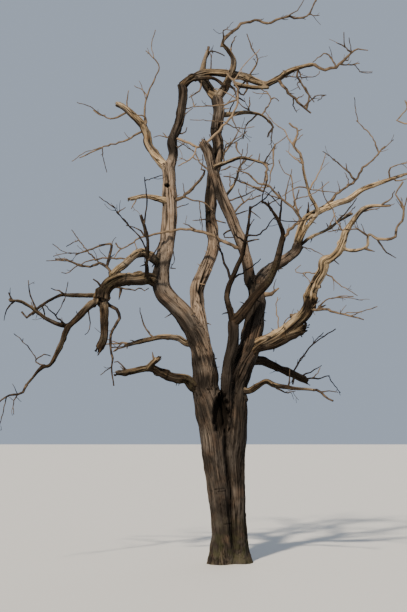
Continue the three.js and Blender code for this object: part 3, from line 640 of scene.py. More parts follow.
# Single shoots, stubs and curls: limb, tone, width, then stops (across, up)
SHOOTS = [
    ("upper_left_twigs", 0.5, 30, (-1205, 6510), (-1265, 6605), (-1325, 6675), (-1380, 6675)),
    ("upper_left_twigs", 0.5, 15, (-1285, 6915), (-1305, 7050), (-1365, 7190)),
    ("top_left_bough", 0.4, 22, (-950, 6330), (-1050, 6360), (-1150, 6340)),
    ("top_left_bough", 0.4, 20, (-950, 6330), (-1010, 6410)),
    ("top_left_bough", 0.3, 30, (-750, 6350), (-675, 6415), (-645, 6490)),
    ("top_left_bough", 0.3, 30, (-800, 6155), (-675, 6260)),
    ("top_arch", 0.4, 30, (-475, 7195), (-430, 7110), (-465, 7035), (-550, 6975), (-620, 6940)),
    ("top_left_bough", 0.4, 20, (-650, 6740), (-555, 6795), (-505, 6850)),
    ("top_left_bough", 0.4, 20, (-695, 6605), (-555, 6780)),
    ("pale_stub", 0.6, 22, (-1400, 5380), (-1480, 5265)),
    ("left_upright", 0.4, 20, (-780, 5250), (-620, 5345)),
    ("inner_left_twigs", 0.3, 18, (-700, 5355), (-710, 5655)),
    ("left_upright", 0.6, 18, (-800, 4895), (-835, 4485), (-895, 4380)),
    ("left_upright", 0.5, 22, (-915, 4310), (-815, 4370)),
    ("crown_twigs", 0.2, 45, (60, 7130), (85, 7025), (95, 6930)),
    ("top_arch", 0.5, 38, (195, 7125), (270, 7050), (195, 6975), (120, 7035), (165, 7100)),
    ("crown_twigs", 0.2, 30, (125, 6950), (220, 6880)),
    ("crown_twigs", 0.3, 22, (-70, 7440), (-45, 7305)),
    ("crown_twigs", 0.4, 22, (1180, 8160), (1345, 8170)),
    ("right_loop_twigs", 0.3, 45, (2040, 4635), (2175, 4625)),
    ("centre_upright", 0.4, 22, (-320, 5115), (-560, 5095)),
    ("top_right_bough", 0.3, 27, (1040, 7370), (1010, 7260), (1040, 7200), (1085, 7140),
     (1135, 7025), (1190, 6965), (1265, 6865)),
    ("top_right_bough", 0.3, 20, (1065, 7160), (1000, 7170), (1015, 7110), (1055, 7055)),
    ("top_right_bough", 0.3, 20, (1070, 7335), (1080, 7205)),
    ("top_right_bough", 0.3, 22, (750, 7230), (920, 7255), (1110, 7240), (1310, 7270),
     (1340, 7335)),
    ("hanging_right_twigs", 0.3, 20, (1000, 6920), (1110, 6980)),
    ("top_arch", 0.5, 30, (140, 7110), (220, 7170), (280, 7225), (315, 7310), (380, 7400),
     (410, 7485), (415, 7550), (345, 7630), (280, 7800), (250, 7895)),
    ("leaning_pale_twigs", 0.5, 22, (-565, 6050), (-485, 5995), (-410, 6005)),
    ("leaning_pale_twigs", 0.5, 27, (75, 6910), (10, 6860), (-95, 6825), (-305, 6815),
     (-550, 6795)),
    ("leaning_pale_twigs", 0.5, 18, (-540, 6855), (-590, 6985)),
    ("leaning_pale_twigs", 0.5, 18, (-85, 6605), (-360, 6595), (-600, 6605)),
    ("inner_right_twigs", 0.4, 22, (620, 6910), (680, 6935), (735, 6880)),
    ("inner_right_twigs", 0.4, 22, (20, 6605), (115, 6450), (170, 6410)),
    ("inner_right_twigs", 0.4, 22, (315, 6730), (140, 6860), (95, 6940)),
    ("inner_right_twigs", 0.4, 22, (-30, 6705), (65, 6890)),
    ("hooked_twigs", 0.4, 18, (375, 5955), (225, 5860), (5, 5905)),
    ("hooked_twigs", 0.3, 27, (-15, 5940), (-75, 5855), (-145, 5840)),
    ("hooked_twigs", 0.3, 22, (430, 6000), (450, 6100)),
    ("hooked_twigs", 0.3, 20, (580, 5955), (640, 5955)),
    ("hooked_twigs", 0.5, 26, (680, 6240), (640, 6105), (650, 5975), (600, 5735), (580, 5615)),
    ("hooked_twigs", 0.4, 30, (100, 6260), (95, 6160), (165, 6080)),
    ("right_stem", 0.5, 105, (460, 3945), (585, 3995), (735, 4080)),
    ("front_left_twigs", 0.1, 30, (260, 4755), (440, 4810)),
    ("front_left_twigs", 0.1, 22, (270, 4950), (365, 5115)),
    ("broken_bough", 0.4, 30, (90, 5175), (270, 5245)),
    ("front_left_twigs", 0.2, 18, (310, 5245), (460, 5125)),
    ("front_right_bough", 0.2, 45, (690, 4320), (795, 4380)),
    ("right_upright_twigs", 0.5, 24, (1150, 5565), (1080, 5605), (950, 5555), (780, 5455)),
    ("hooked_twigs", 0.3, 30, (470, 5505), (365, 5590), (250, 5645), (145, 5675), (20, 5745),
     (-95, 5755)),
    ("front_right_twigs", 0.3, 22, (765, 5415), (520, 5495)),
    ("front_right_twigs", 0.3, 22, (555, 5350), (750, 5425)),
    ("broken_bough", 0.4, 30, (-65, 5055), (40, 5180), (120, 5295), (205, 5370), (300, 5415),
     (460, 5465)),
    ("broken_bough", 0.4, 21, (195, 5390), (135, 5495), (130, 5570)),
    ("centre_upright", 0.2, 30, (-215, 5115), (-60, 5055)),
    ("broken_bough", 0.1, 30, (-15, 4930), (-100, 4895), (-80, 4835), (55, 4840)),
    ("right_reach", 0.1, 60, (1165, 5175), (1175, 5370)),
    ("right_upright_twigs", 0.6, 22, (1020, 6435), (1080, 6465)),
    ("right_fan_twigs", 0.4, 22, (1810, 5870), (1740, 5950)),
    ("right_upright_twigs", 0.5, 20, (1155, 5565), (1365, 5540), (1640, 5510)),
    ("middle_right_bough", 0.5, 24, (1440, 4275), (1545, 4220), (1645, 4125), (1760, 4060),
     (1915, 3965)),
    ("right_drooping_twigs", 0.5, 60, (1300, 3815), (1440, 3830)),
    ("middle_right_bough", 0.5, 22, (1290, 4335), (1185, 4315), (1005, 4310), (975, 4350),
     (1060, 4425)),
    ("middle_right_bough", 0.5, 20, (1095, 4295), (1200, 4185)),
    ("right_bough", 0.4, 18, (1080, 4680), (1275, 4635), (1440, 4550)),
    ("middle_right_bough", 0.4, 20, (1555, 4455), (1635, 4430)),
    ("lower_right_bough", 0.5, 20, (815, 3475), (805, 3530), (880, 3630), (985, 3705)),
    ("broken_right_twigs", 0.4, 21, (1215, 2750), (1310, 2795), (1355, 2890)),
    ("broken_right_twigs", 0.1, 38, (930, 2715), (940, 2630)),
    ("lower_right_bough", 0.8, 22, (700, 3405), (720, 3555), (690, 3840), (715, 3945)),
    ("left_high_bough", 0.3, 27, (-1540, 4550), (-1635, 4515), (-1860, 4530), (-2115, 4485),
     (-2275, 4425), (-2460, 4300), (-2530, 4315)),
    ("drooping_bough", 0.3, 20, (-2060, 3695), (-2100, 3570), (-2115, 3435), (-2175, 3380)),
    ("left_riser_twigs", 0.3, 20, (-1700, 5205), (-1570, 5290)),
    ("left_low_bough", 0.2, 30, (-1790, 4065), (-1635, 4080), (-1515, 4065), (-1400, 4045),
     (-1345, 4095), (-1310, 4035), (-1220, 4080)),
    ("left_reaching_twigs", 0.3, 21, (-2920, 3785), (-2990, 3870)),
    ("left_arm_twigs", 0.4, 24, (-1620, 3235), (-1685, 3195), (-1755, 3125)),
    ("left_arm_twigs", 0.4, 30, (-1545, 3240), (-1545, 3170)),
    ("knotty_arm", 0.2, 30, (-1545, 2895), (-1685, 2980), (-1740, 2970)),
    ("knotty_stub", 0.4, 45, (-1155, 3015), (-1155, 3060), (-1165, 3125)),
    ("left_bough", 0.2, 45, (-870, 3625), (-980, 3635)),
    ("left_low_bough", 0.1, 45, (-1650, 4020), (-1665, 3900)),
    ("left_low_bough", 0.2, 38, (-1950, 4155), (-2055, 4215)),
    ("left_low_bough", 0.1, 45, (-1230, 4320), (-1260, 4425), (-1290, 4485)),
    ("left_high_bough", 0.2, 45, (-1350, 4605), (-1245, 4635), (-1200, 4560)),
    ("middle_right_bough", 0.2, 60, (1185, 3900), (1110, 3855)),
    ("middle_right_bough", 0.3, 60, (1275, 4185), (1200, 4155)),
    ("middle_right_bough", 0.4, 75, (1425, 4560), (1515, 4530)),
    ("lower_right_bough", 0.3, 75, (930, 3630), (1035, 3705)),
    ("lower_right_bough", 0.2, 60, (1050, 3390), (1080, 3345)),
    ("right_reach", 0.2, 60, (1095, 4950), (1200, 5040), (1170, 5160)),
    ("right_bough", 0.3, 60, (870, 4470), (915, 4575)),
]


def shoot(name, tone, width, route, draw):
    """A shoot from the nearest place on a limb, or on a twig or a shoot that it carries."""
    gaps, carrier = min(((gaps_in_front_view(axis.front, route[0]), axis)
                         for axis in carriers_of[name]), key=lambda found: found[0].min())
    start = carrier.front[np.argmin(gaps)]
    flat = np.array([(start[0], start[2]), *route[1:]], dtype=float)
    run = run_along(flat)
    lean = run[-1] * (next(draw) - 0.5) * SHOOT_LEAN
    depths = start[1] + lean * run / run[-1]
    tip = max((STUB_TIP_SHARE if width > STUB_WIDTH else SHOOT_TIP_SHARE) * width, FINE_TIP_WIDTH)
    widths = width + (tip - width) * run / run[-1]
    axis = axis_of(np.stack([flat[:, 0], depths, flat[:, 1], widths], axis=1))
    carriers_of[name].append(axis)
    group = next((e["group"] for e in twig_paths if e["owner"] == name), None)
    if group is None:
        group = next(e["group"] for e in wood if e["name"] == name)
    if group == "stems":
        group = "left" if start[0] < STEM_SPLIT else "right"
    twig_paths.append({"axis": axis, "tone": tone, "group": group, "owner": name})


shoot_draw = seeded(SHOOT_SEED)
for shoot_limb, shoot_tone, shoot_width, *shoot_route in SHOOTS:
    shoot(shoot_limb, shoot_tone, shoot_width, shoot_route, shoot_draw)

# Noise for the relief
NOISE_SIZE = 256
NOISE_GAIN = 1.6
noise_random = np.random.default_rng(7)
GRADIENTS = noise_random.normal(size=(NOISE_SIZE, 3))
GRADIENTS /= np.linalg.norm(GRADIENTS, axis=1)[:, None]
SHUFFLE = noise_random.permutation(NOISE_SIZE)


def noise(places):
    """Smooth noise from about -1 to 1 at places given in noise cells."""
    base = np.floor(places).astype(np.int64)
    part = places - base
    fade = part ** 3 * (part * (part * 6 - 15) + 10)
    total = np.zeros(len(places))
    for corner in itertools.product((0, 1), repeat=3):
        cell = base + corner
        pick = 0
        for way in (2, 1, 0):
            pick = SHUFFLE[(cell[:, way] + pick) & (NOISE_SIZE - 1)]
        weight = np.prod(np.where(corner, fade, 1 - fade), axis=1)
        total += weight * np.sum(GRADIENTS[pick] * (part - corner), axis=1)
    return total * NOISE_GAIN


def smoothstep(low, high, value):
    part = np.clip((value - low) / (high - low), 0, 1)
    return part * part * (3 - 2 * part)


def peak(value):
    """1 where the value is 0, falling to nothing on both sides of it."""
    return np.exp(-value ** 2)


FIRST_SIDE = (0.3, 0.9, 0.1)


def frames_along(points, side=None):
    """Tangent, side and other side at each place, turning as little as they can."""
    tangents = np.gradient(points, axis=0)
    tangents /= np.linalg.norm(tangents, axis=1)[:, None]
    if side is None:
        side = np.cross(tangents[0], FIRST_SIDE)
    side = unit(side - tangents[0] * np.dot(side, tangents[0]))
    sides = [side]
    for tangent in tangents[1:]:
        side = unit(side - tangent * np.dot(side, tangent))
        sides.append(side)
    sides = np.array(sides)
    return tangents, sides, np.cross(tangents, sides)


# The limbs as closed tubes that the surface grows over. Lengths are in widths of the limb
TUBE_SIDES = 20
COLLAR = 0.30
COLLAR_LENGTH = 0.9
SWAY = 0.10
SWAY_LENGTH = 2.6
SWAY_SHIFTS = (0.0, 31.3, 67.1)
SEED_SPACING = 3.7
STRAIGHT_START = 1.5
STRAIGHT_END = 1.0
LUMPS = 0.06
LUMPS_PER_SWAY = 1.9
LUMP_SHIFT = 11.9
TIP_TAPER = 0.35
TIP_LENGTH = 0.5
SWELLINGS = {"left_fork_twigs": 0.5}

# The stems start inside the trunk, so they are narrower there. The length is in metres
TRUNK_STEMS = ("left_stem", "right_stem", "front_stem")
STEM_START_SHARE = 0.72
STEM_START_GAIN = 0.28
STEM_START_LENGTH = 0.45
FOOT_DEPTH_RATIO = 1.22

SPLINTERS = 7
SPLINTER_SIDES = 8
SPLINTER_JITTER = 0.3
SPLINTER_FOOT = 0.5
SPLINTER_RIM = 0.28
SPLINTER_LENGTHS = (0.7, 1.7)
SPLINTER_LEANS = (-0.1, 0.25)
SPLINTER_WIDTHS = np.array([0.5, 0.46, 0.36, 0.22, 0.08])


def tube(points, widths, sides, depth_ratio=None):
    """Corners and faces of a closed tube, in metres."""
    _, across, over = frames_along(points)
    angles = np.linspace(0, 2 * math.pi, sides, endpoint=False)
    ring = (across[:, None, :] * np.cos(angles)[None, :, None]
            + over[:, None, :] * np.sin(angles)[None, :, None]) * (widths[:, None, None] / 2)
    if depth_ratio is not None:
        ring[:, :, 1] *= depth_ratio[:, None]
    corners = (points[:, None, :] + ring).reshape(-1, 3)
    faces = []
    for i in range(len(points) - 1):
        for j in range(sides):
            k = (j + 1) % sides
            faces.append((i * sides + j, i * sides + k, (i + 1) * sides + k, (i + 1) * sides + j))
    last = (len(points) - 1) * sides
    faces.append(tuple(range(sides - 1, -1, -1)))
    faces.append(tuple(range(last, last + sides)))
    return corners, faces


def visible_axis(entry):
    """The limb in metres, a little crooked and thicker where it leaves its parent."""
    points = entry["axis"].points * MM
    widths = entry["axis"].widths * MM
    run = run_along(points)
    cells = np.stack([run / (SWAY_LENGTH * widths[0]),
                      np.full_like(run, entry["seed"] * SEED_SPACING), np.zeros_like(run)], axis=1)
    sway = np.stack([noise(cells + shift) for shift in SWAY_SHIFTS], axis=1)
    ease = (smoothstep(0, STRAIGHT_START * widths[0], run)
            * smoothstep(0, STRAIGHT_END * widths[-1], run[-1] - run))
    points = points + sway * (SWAY * entry["gnarl"] * widths * ease)[:, None]
    lumps = 1 + LUMPS * entry["gnarl"] * noise(cells * LUMPS_PER_SWAY + LUMP_SHIFT)
    collar = 1 + COLLAR * entry["collar"] * np.exp(-run / (COLLAR_LENGTH * widths[0]))
    if entry["name"] in TRUNK_STEMS:
        collar = STEM_START_SHARE + STEM_START_GAIN * smoothstep(0, STEM_START_LENGTH, run)
    ends_free = not entry["broken"] and entry["name"] not in runs_on_from.values()
    tip_start = run[-1] - TIP_LENGTH * widths[-1]
    tip = 1 - TIP_TAPER * smoothstep(tip_start, run[-1], run) * ends_free
    swell = 1 + SWELLINGS.get(entry["name"], 0.0) * (1 - (run / run[-1]) ** 2)
    return points, widths * lumps * collar * tip * swell


def splinters(points, widths, seed):
    """The jagged end of a broken limb: thin wedges that stand on from its rim."""
    draw = np.random.default_rng(seed)
    tangents, across, over = frames_along(points)
    parts = []
    for i in range(SPLINTERS):
        angle = 2 * math.pi * (i + draw.uniform(-SPLINTER_JITTER, SPLINTER_JITTER)) / SPLINTERS
        rim = across[-1] * math.cos(angle) + over[-1] * math.sin(angle)
        foot = (points[-1] - tangents[-1] * SPLINTER_FOOT * widths[-1]
                + rim * widths[-1] * SPLINTER_RIM)
        length = widths[-1] * draw.uniform(*SPLINTER_LENGTHS)
        heading = unit(tangents[-1] + rim * draw.uniform(*SPLINTER_LEANS))
        path = foot + np.outer(np.linspace(0, 1, len(SPLINTER_WIDTHS)) * length, heading)
        parts.append(tube(path, widths[-1] * SPLINTER_WIDTHS, SPLINTER_SIDES))
    return parts


def mesh_object(name, corners, faces, edges=()):
    mesh = bpy.data.meshes.new(name)
    mesh.from_pydata([tuple(c) for c in corners], list(edges), faces)
    mesh.update()
    return linked(bpy.data.objects.new(name, mesh))


def linked(obj):
    bpy.context.scene.collection.objects.link(obj)
    return obj


def evaluated_mesh(obj):
    """A plain mesh of what the object's modifiers make of it."""
    depsgraph = bpy.context.evaluated_depsgraph_get()
    return bpy.data.meshes.new_from_object(obj.evaluated_get(depsgraph))


def settled(obj):
    """The object with its modifier worked into its mesh."""
    mesh = evaluated_mesh(obj)
    old = obj.data
    obj.modifiers.clear()
    obj.data = mesh
    bpy.data.meshes.remove(old)
    return obj


def remeshed(obj, voxel):
    """The object's mesh as one even skin over all its tubes."""
    modifier = obj.modifiers.new("skin", "REMESH")
    modifier.mode = "VOXEL"
    modifier.voxel_size = voxel
    modifier.use_smooth_shade = True
    return settled(obj)


def thinned(obj):
    """The object with its flattest triangles joined, where it has too many of them."""
    count = sum(len(face.vertices) - 2 for face in obj.data.polygons)
    if count <= MOST_TRIANGLES:
        return obj
    modifier = obj.modifiers.new("thinning", "DECIMATE")
    modifier.ratio = MOST_TRIANGLES / count
    return settled(obj)


def read_rows(items, key, kind):
    """One property of a mesh's vertices or edges, a row for each."""
    width = {"co": 3, "normal": 3, "vertices": 2}[key]
    values = np.empty(len(items) * width, dtype=kind)
    items.foreach_get(key, values)
    return values.reshape(-1, width)


def place_corners(mesh, places):
    mesh.vertices.foreach_set("co", places.ravel())
    mesh.update()


def store(mesh, name, kind, values):
    attribute = mesh.attributes.new(name, kind, "POINT")
    key = "vector" if kind == "FLOAT_VECTOR" else "value"
    attribute.data.foreach_set(key, np.ascontiguousarray(values, dtype=np.float32).ravel())


def smoothed(corners, edges, rounds, share):
    """Corners moved towards the middle of their neighbours, by a share for each."""
    count = np.bincount(edges.ravel(), minlength=len(corners)).astype(float)[:, None]
    for _ in range(rounds):
        total = np.stack([
            np.bincount(edges[:, 0], corners[edges[:, 1], i], len(corners))
            + np.bincount(edges[:, 1], corners[edges[:, 0], i], len(corners)) for i in range(3)
        ], axis=1)
        corners = corners + (total / count - corners) * share[:, None]
    return corners


FAR_AWAY = 9.0
SEARCH_REACH = 0.16
SEARCH_BLOCK = 20000


def nearest_limbs(corners, entries):
    """For each corner, its nearest and next limb, their samples and signed distances."""
    count = len(corners)
    score = np.full((count, 2), FAR_AWAY)
    limb = np.zeros((count, 2), dtype=int)
    sample = np.zeros((count, 2), dtype=int)
    for index, entry in enumerate(entries):
        points, widths = entry["points"], entry["widths"]
        room = widths.max() / 2 + SEARCH_REACH
        inside = np.all((corners > points.min(axis=0) - room)
                        & (corners < points.max(axis=0) + room), axis=1)
        rows = np.flatnonzero(inside)
        for start in range(0, len(rows), SEARCH_BLOCK):
            part = rows[start:start + SEARCH_BLOCK]
            gaps = np.linalg.norm(corners[part, None, :] - points[None], axis=2)
            near = gaps.argmin(axis=1)
            value = gaps[np.arange(len(part)), near] - widths[near] / 2
            first = value < score[part, 0]
            second = ~first & (value < score[part, 1])
            for table in (score, limb, sample):
                table[part[first], 1] = table[part[first], 0]
            for place, chosen in ((0, first), (1, second)):
                score[part[chosen], place] = value[chosen]
                limb[part[chosen], place] = index
                sample[part[chosen], place] = near[chosen]
    return score, limb, sample


def limb_places(corners, entries, limb, sample):
    """Each corner's place in its limb: two ways across the grain and one along it."""
    places = np.zeros((len(corners), 3))
    for index, entry in enumerate(entries):
        rows = np.flatnonzero(limb == index)
        if not len(rows):
            continue
        near = sample[rows]
        offset = corners[rows] - entry["points"][near]
        tangents, across, over = entry["frames"]
        along = entry["run"][near] + np.sum(offset * tangents[near], axis=1)
        u = np.sum(offset * across[near], axis=1)
        v = np.sum(offset * over[near], axis=1)
        twist = entry["twist"] * along
        places[rows, 0] = u * np.cos(twist) - v * np.sin(twist)
        places[rows, 1] = u * np.sin(twist) + v * np.cos(twist)
        places[rows, 2] = along
    return places


# The size of the grain's cells, as a share of the limb's width and in metres
CELL_SHARE = 0.2
CELL_RANGE = (0.015, 0.05)
SAME_CELL_SHARE = 0.75
TWIST = 0.5
TWIST_SPACING = 2.3
TONE_CHANGE_LENGTH = 0.45


def set_grain(entry):
    """How the grain lies in a limb, which takes it over from a limb that it runs on from."""
    points = entry["points"]
    run = run_along(points)
    cell = float(np.clip(CELL_SHARE * entry["widths"].mean(), *CELL_RANGE))
    before = next((e for e in wood if e["name"] == runs_on_from.get(entry["name"])
                   and "frames" in e), None)
    if before is None:
        entry.update(frames=frames_along(points), run=run, cell=cell, tone_before=entry["tone"],
                     twist=TWIST * math.sin(entry["seed"] * TWIST_SPACING))
        return
    place = np.linalg.norm(before["points"] - points[0], axis=1).argmin()
    entry.update(frames=frames_along(points, before["frames"][1][place]),
                 run=run + before["run"][place], twist=before["twist"], seed=before["seed"],
                 cell=before["cell"] if cell > SAME_CELL_SHARE * before["cell"] else cell,
                 tone_before=before["tone"])


# The relief's layers of noise: cells across and along the grain, and a shift that parts them
FURROW_STRETCH = 16.0
SEED_SHIFT = 5.3
DRIFT_LAYER = (0.3, 0.3, 1.1), 9.1
FURROW_LAYER = (0.8, 0.8, 0.8), 0.0
FURROW_BREAKS = (0.45, 0.45, 0.9), 3.3
FIBRE_LAYER = (1.9, 1.9, 1.3), 17.7
STRAND_LAYER = (0.45, 0.45, 0.35), 41.0
SPLIT_LAYER = (0.42, 0.42, 0.55), 57.0
SPLIT_BREAKS = (0.3, 0.3, 0.6), 71.0
STAIN_LAYER = (0.5, 0.5, 0.4), 83.0
LUMP_SIZE = 0.21
RELIEF_LUMP_SHIFT = 5.0
KNOT_SIZE = 0.15

# Where in its noise each of these sets in and is full
FURROW_RUNS = (-0.35, 0.25)
SPLIT_RUNS = (-0.2, 0.25)
KNOTS = (0.25, 0.65)
STAINS = (0.05, 0.55)

# Widths of the lines in noise, then heights and depths in cells of the grain
DRIFT = 0.9
FURROW_WIDTH = 0.10
FIBRE_WIDTH = 0.14
SPLIT_WIDTH = 0.15
STRAND_HEIGHT = 0.40
FURROW_DEPTH = 0.52
FIBRE_DEPTH = 0.18
SPLIT_DEPTH = 0.65
LUMP_HEIGHT = 0.22
KNOT_HEIGHT = 0.5
KNOTLESS_GNARL = 0.7
# Painted shade in fibres and splits, as shares of a furrow's
FIBRE_SHADE = 0.3
SPLIT_SHADE = 0.85
SMOOTHER_WOOD = {"trunk": 0.5, "trunk_right": 0.8, "left_stem": 0.65, "front_stem": 0.7,
                 "front_right_bough": 0.7}


def relief(places, entries, limb):
    """The relief's height in metres, how much painted shade each corner gets in furrows, fibres and
    splits, and its stain.
    """
    def of_limb(pick):
        return np.array([pick(e) for e in entries])[limb]

    def layer(kind):
        cells, shift = kind
        return noise(scaled * cells + shift)

    cell = of_limb(lambda e: e["cell"])
    gnarl = of_limb(lambda e: e["gnarl"])
    seed = (of_limb(lambda e: e["seed"]) * SEED_SHIFT)[:, None]
    evenness = of_limb(lambda e: SMOOTHER_WOOD.get(e["name"], 1.0))
    scaled = places / cell[:, None]
    scaled[:, 2] /= FURROW_STRETCH
    scaled += seed
    scaled[:, 0] += DRIFT * layer(DRIFT_LAYER)
    furrow = peak(layer(FURROW_LAYER) / FURROW_WIDTH)
    furrow *= smoothstep(*FURROW_RUNS, layer(FURROW_BREAKS))
    furrow *= evenness
    fibre = peak(layer(FIBRE_LAYER) / FIBRE_WIDTH)
    strand = layer(STRAND_LAYER)
    split = peak(layer(SPLIT_LAYER) / SPLIT_WIDTH)
    split *= smoothstep(*SPLIT_RUNS, layer(SPLIT_BREAKS))
    split *= evenness
    knot = smoothstep(*KNOTS, noise(places / KNOT_SIZE + seed))
    lump = noise(places / LUMP_SIZE + seed + RELIEF_LUMP_SHIFT)
    height = cell * (STRAND_HEIGHT * strand - FURROW_DEPTH * furrow - FIBRE_DEPTH * fibre
                     - SPLIT_DEPTH * split)
    height += (gnarl * cell * LUMP_HEIGHT * lump
               + np.maximum(gnarl - KNOTLESS_GNARL, 0) * cell * KNOT_HEIGHT * knot)
    crack_shade = np.clip(furrow + FIBRE_SHADE * fibre + SPLIT_SHADE * split, 0, 1)
    return height, crack_shade, evenness * smoothstep(*STAINS, layer(STAIN_LAYER))


# Named places on the trunk and stems, in millimetres (across, up). Depths are in metres
GROOVE = [(-150, 2430), (-75, 2070), (-75, 1560), (-45, 1395), (0, 1020), (3, 705), (40, 285)]
GROOVE_WIDTH = 34.0
GROOVE_DEPTH = 0.055
GROOVE_FOOT_FADE = 150
GROOVE_TOP_FADE = 60
HOLLOW = (-145, 2195)
HOLLOW_SIZE = (104.0, 275.0)
HOLLOW_RIM = (1.7, 0.5)
HOLLOW_DEPTH = 0.17
RAGGEDNESS = 0.6
RAGGED_CELL = (0.05, 0.05, 0.12)
NEST_HOLE = (-940, 5619)
NEST_HOLE_RIM = (38.0, 20.0)
NEST_HOLE_DEPTH = 0.07
NEST_HOLE_FACING = 0.2
CROSS_CRACKS = [(-155, 1065, 75), (-130, 1030, 60), (-40, 540, 60), (-300, 2560, 50)]
CROSS_CRACK_HALF_HEIGHT = 9.0
CROSS_CRACK_SLOPE = 0.1
CROSS_CRACK_DEPTH = 0.012

# How far a surface turns to the front where a carving sets in and is full
FRONT = (0.15, 0.6)
HOLLOW_FRONT = (0.0, 0.3)

# How much painted shade each of them gets
GROOVE_SHADE = 0.9
HOLLOW_SHADE = 0.95
NEST_HOLE_SHADE = 2
CROSS_CRACK_SHADE = 0.8

# Dark bands (across, up, half height, strength) and pale patches (across, up, half width,
# half height, strength)
DARK_BANDS = [(-1010, 4455, 34, 0.9), (-445, 4230, 30, 0.9), (-340, 5505, 60, 0.6),
              (-300, 5100, 45, 0.5), (330, 4320, 60, 0.6), (985, 4700, 70, 0.7),
              (-860, 6210, 120, 0.8), (-200, 6400, 190, 0.5), (350, 3760, 130, 0.4),
              (-1850, 4080, 120, 0.5), (-560, 2640, 70, 0.5), (1150, 3830, 70, 0.4)]
DARK_BAND_REACH = 170.0
DARK_BAND_SLOPE = 0.18
PALE_PATCHES = [(-330, 1850, 75, 320, 0.35), (95, 900, 55, 330, 0.40), (-390, 2850, 70, 100, 0.3)]

# Limbs with painted shade on one side: below 0 on the left, above 0 on the right
PAINTED_SHADE_SIDES = {"centre_upright": -0.6, "left_stem": -0.45, "left_bough": -0.55,
              "broken_bough": -0.3, "lower_right_bough": 0.2, "top_left_bough": -0.2}
PAINTED_SHADE_TURN = (-0.1, 0.7)
STAIN_STRENGTH = 0.40
# Painted light and shade: paler on faces that turn up, darker on faces that turn down, and darker
# still underneath
PAINTED_TOP_LIGHT = 0.10
PAINTED_UNDERSIDE_SHADE = 0.38
TONE_RANGE = (-0.3, 1.2)


def front_places(corners):
    """Where corners lie in the front view, in millimetres (across, up)."""
    ray = corners / MM - EYE
    forward = np.array([0, math.cos(SIGHT_TILT), math.sin(SIGHT_TILT)])
    upward = np.array([0, -math.sin(SIGHT_TILT), math.cos(SIGHT_TILT)])
    scale = (SIGHT_DISTANCE / math.cos(SIGHT_TILT)) / (ray @ forward)
    return np.stack([ray[:, 0] * scale + SIGHT_ACROSS, (ray @ upward) * scale + AIM_HEIGHT], axis=1)


def oval(view, place, size):
    """0 in the middle of an oval in the front view, and 1 on its edge."""
    return ((view[:, 0] - place[0]) / size[0]) ** 2 + ((view[:, 1] - place[1]) / size[1]) ** 2


def carve(corners, normals, crack_shade):
    """The groove between the two stems, the hollow at the fork, the nest hole and cross cracks,
    with painted shade in them.
    """
    view = front_places(corners)
    across, up = view[:, 0], view[:, 1]
    forward = -normals[:, 1]
    facing = smoothstep(*FRONT, forward)
    groove = np.array(GROOVE, dtype=float)[::-1]
    foot, top = groove[0, 1], groove[-1, 1]
    inside = smoothstep(foot - GROOVE_FOOT_FADE, foot, up)
    inside *= 1 - smoothstep(top, top + GROOVE_TOP_FADE, up)
    middle = np.interp(up, groove[:, 1], groove[:, 0])
    slot = peak((across - middle) / GROOVE_WIDTH) * inside * facing
    ragged = 1 + RAGGEDNESS * noise(corners / RAGGED_CELL)
    hollow = smoothstep(*HOLLOW_RIM, oval(view, HOLLOW, HOLLOW_SIZE) * ragged)
    hollow *= smoothstep(*HOLLOW_FRONT, forward)
    hole = np.hypot(across - NEST_HOLE[0], up - NEST_HOLE[1])
    nest = smoothstep(*NEST_HOLE_RIM, hole) * (forward > NEST_HOLE_FACING)
    cross = np.zeros(len(corners))
    for crack_across, crack_up, half in CROSS_CRACKS:
        bent = up - crack_up - CROSS_CRACK_SLOPE * (across - crack_across)
        line = peak(bent / CROSS_CRACK_HALF_HEIGHT)
        cross = np.maximum(cross, line * (np.abs(across - crack_across) < half) * facing)
    corners = corners.copy()
    corners[:, 1] += (GROOVE_DEPTH * slot + HOLLOW_DEPTH * hollow + NEST_HOLE_DEPTH * nest
                      + CROSS_CRACK_DEPTH * cross)
    # Painted shade in the groove, the hollow, the nest hole and the cross cracks
    crack_shade = np.clip(crack_shade + GROOVE_SHADE * slot + HOLLOW_SHADE * hollow
                    + NEST_HOLE_SHADE * nest + CROSS_CRACK_SHADE * cross, 0, 1)
    return corners, crack_shade


def front_view_marks(corners):
    """Tone raised in pale patches and lowered in dark bands, placed as seen from the front."""
    view = front_places(corners)
    band = np.zeros(len(corners))
    pale = np.zeros(len(corners))
    for across, up, half, height, strength in PALE_PATCHES:
        pale = np.maximum(pale, strength * np.exp(-oval(view, (across, up), (half, height))))
    for across, up, height, strength in DARK_BANDS:
        near = np.abs(view[:, 0] - across) < DARK_BAND_REACH
        slant = view[:, 1] - up - DARK_BAND_SLOPE * (view[:, 0] - across)
        band = np.maximum(band, near * strength * peak(slant / height))
    return pale - band


def limb_tones(entries, limb, along):
    """The tone of each corner's limb, which changes slowly where the limb runs on from another."""
    start, before, own = (np.array([pick(e) for e in entries])[limb] for pick in (
        lambda e: e["run"][0], lambda e: e["tone_before"], lambda e: e["tone"]))
    return before + (own - before) * smoothstep(0.0, TONE_CHANGE_LENGTH, along - start)


def painted_shade_and_stain_tones(tones, entries, limb, places, normals, stain):
    """The limbs' tones with painted light and shade, paler on top and darker below and on some
    limbs' one side, then in bands and in stains.
    """
    tones = tones + PAINTED_TOP_LIGHT * normals[:, 2] + PAINTED_UNDERSIDE_SHADE * np.minimum(normals[:, 2], 0)
    tones += front_view_marks(places) - STAIN_STRENGTH * stain
    # Painted shade on one side of some limbs
    side = np.array([PAINTED_SHADE_SIDES.get(e["name"], 0.0) for e in entries])[limb]
    tones -= np.abs(side) * smoothstep(*PAINTED_SHADE_TURN, normals[:, 0] * np.sign(side))
    return np.clip(tones, *TONE_RANGE)


ALL_OVER_ROUNDS = 3
ALL_OVER_SHARE = 0.5
FORK_ROUNDS = 14
FORK_SHARE = 0.6
FORK_REACH = 0.05
GRAIN_SPACING = 0.7


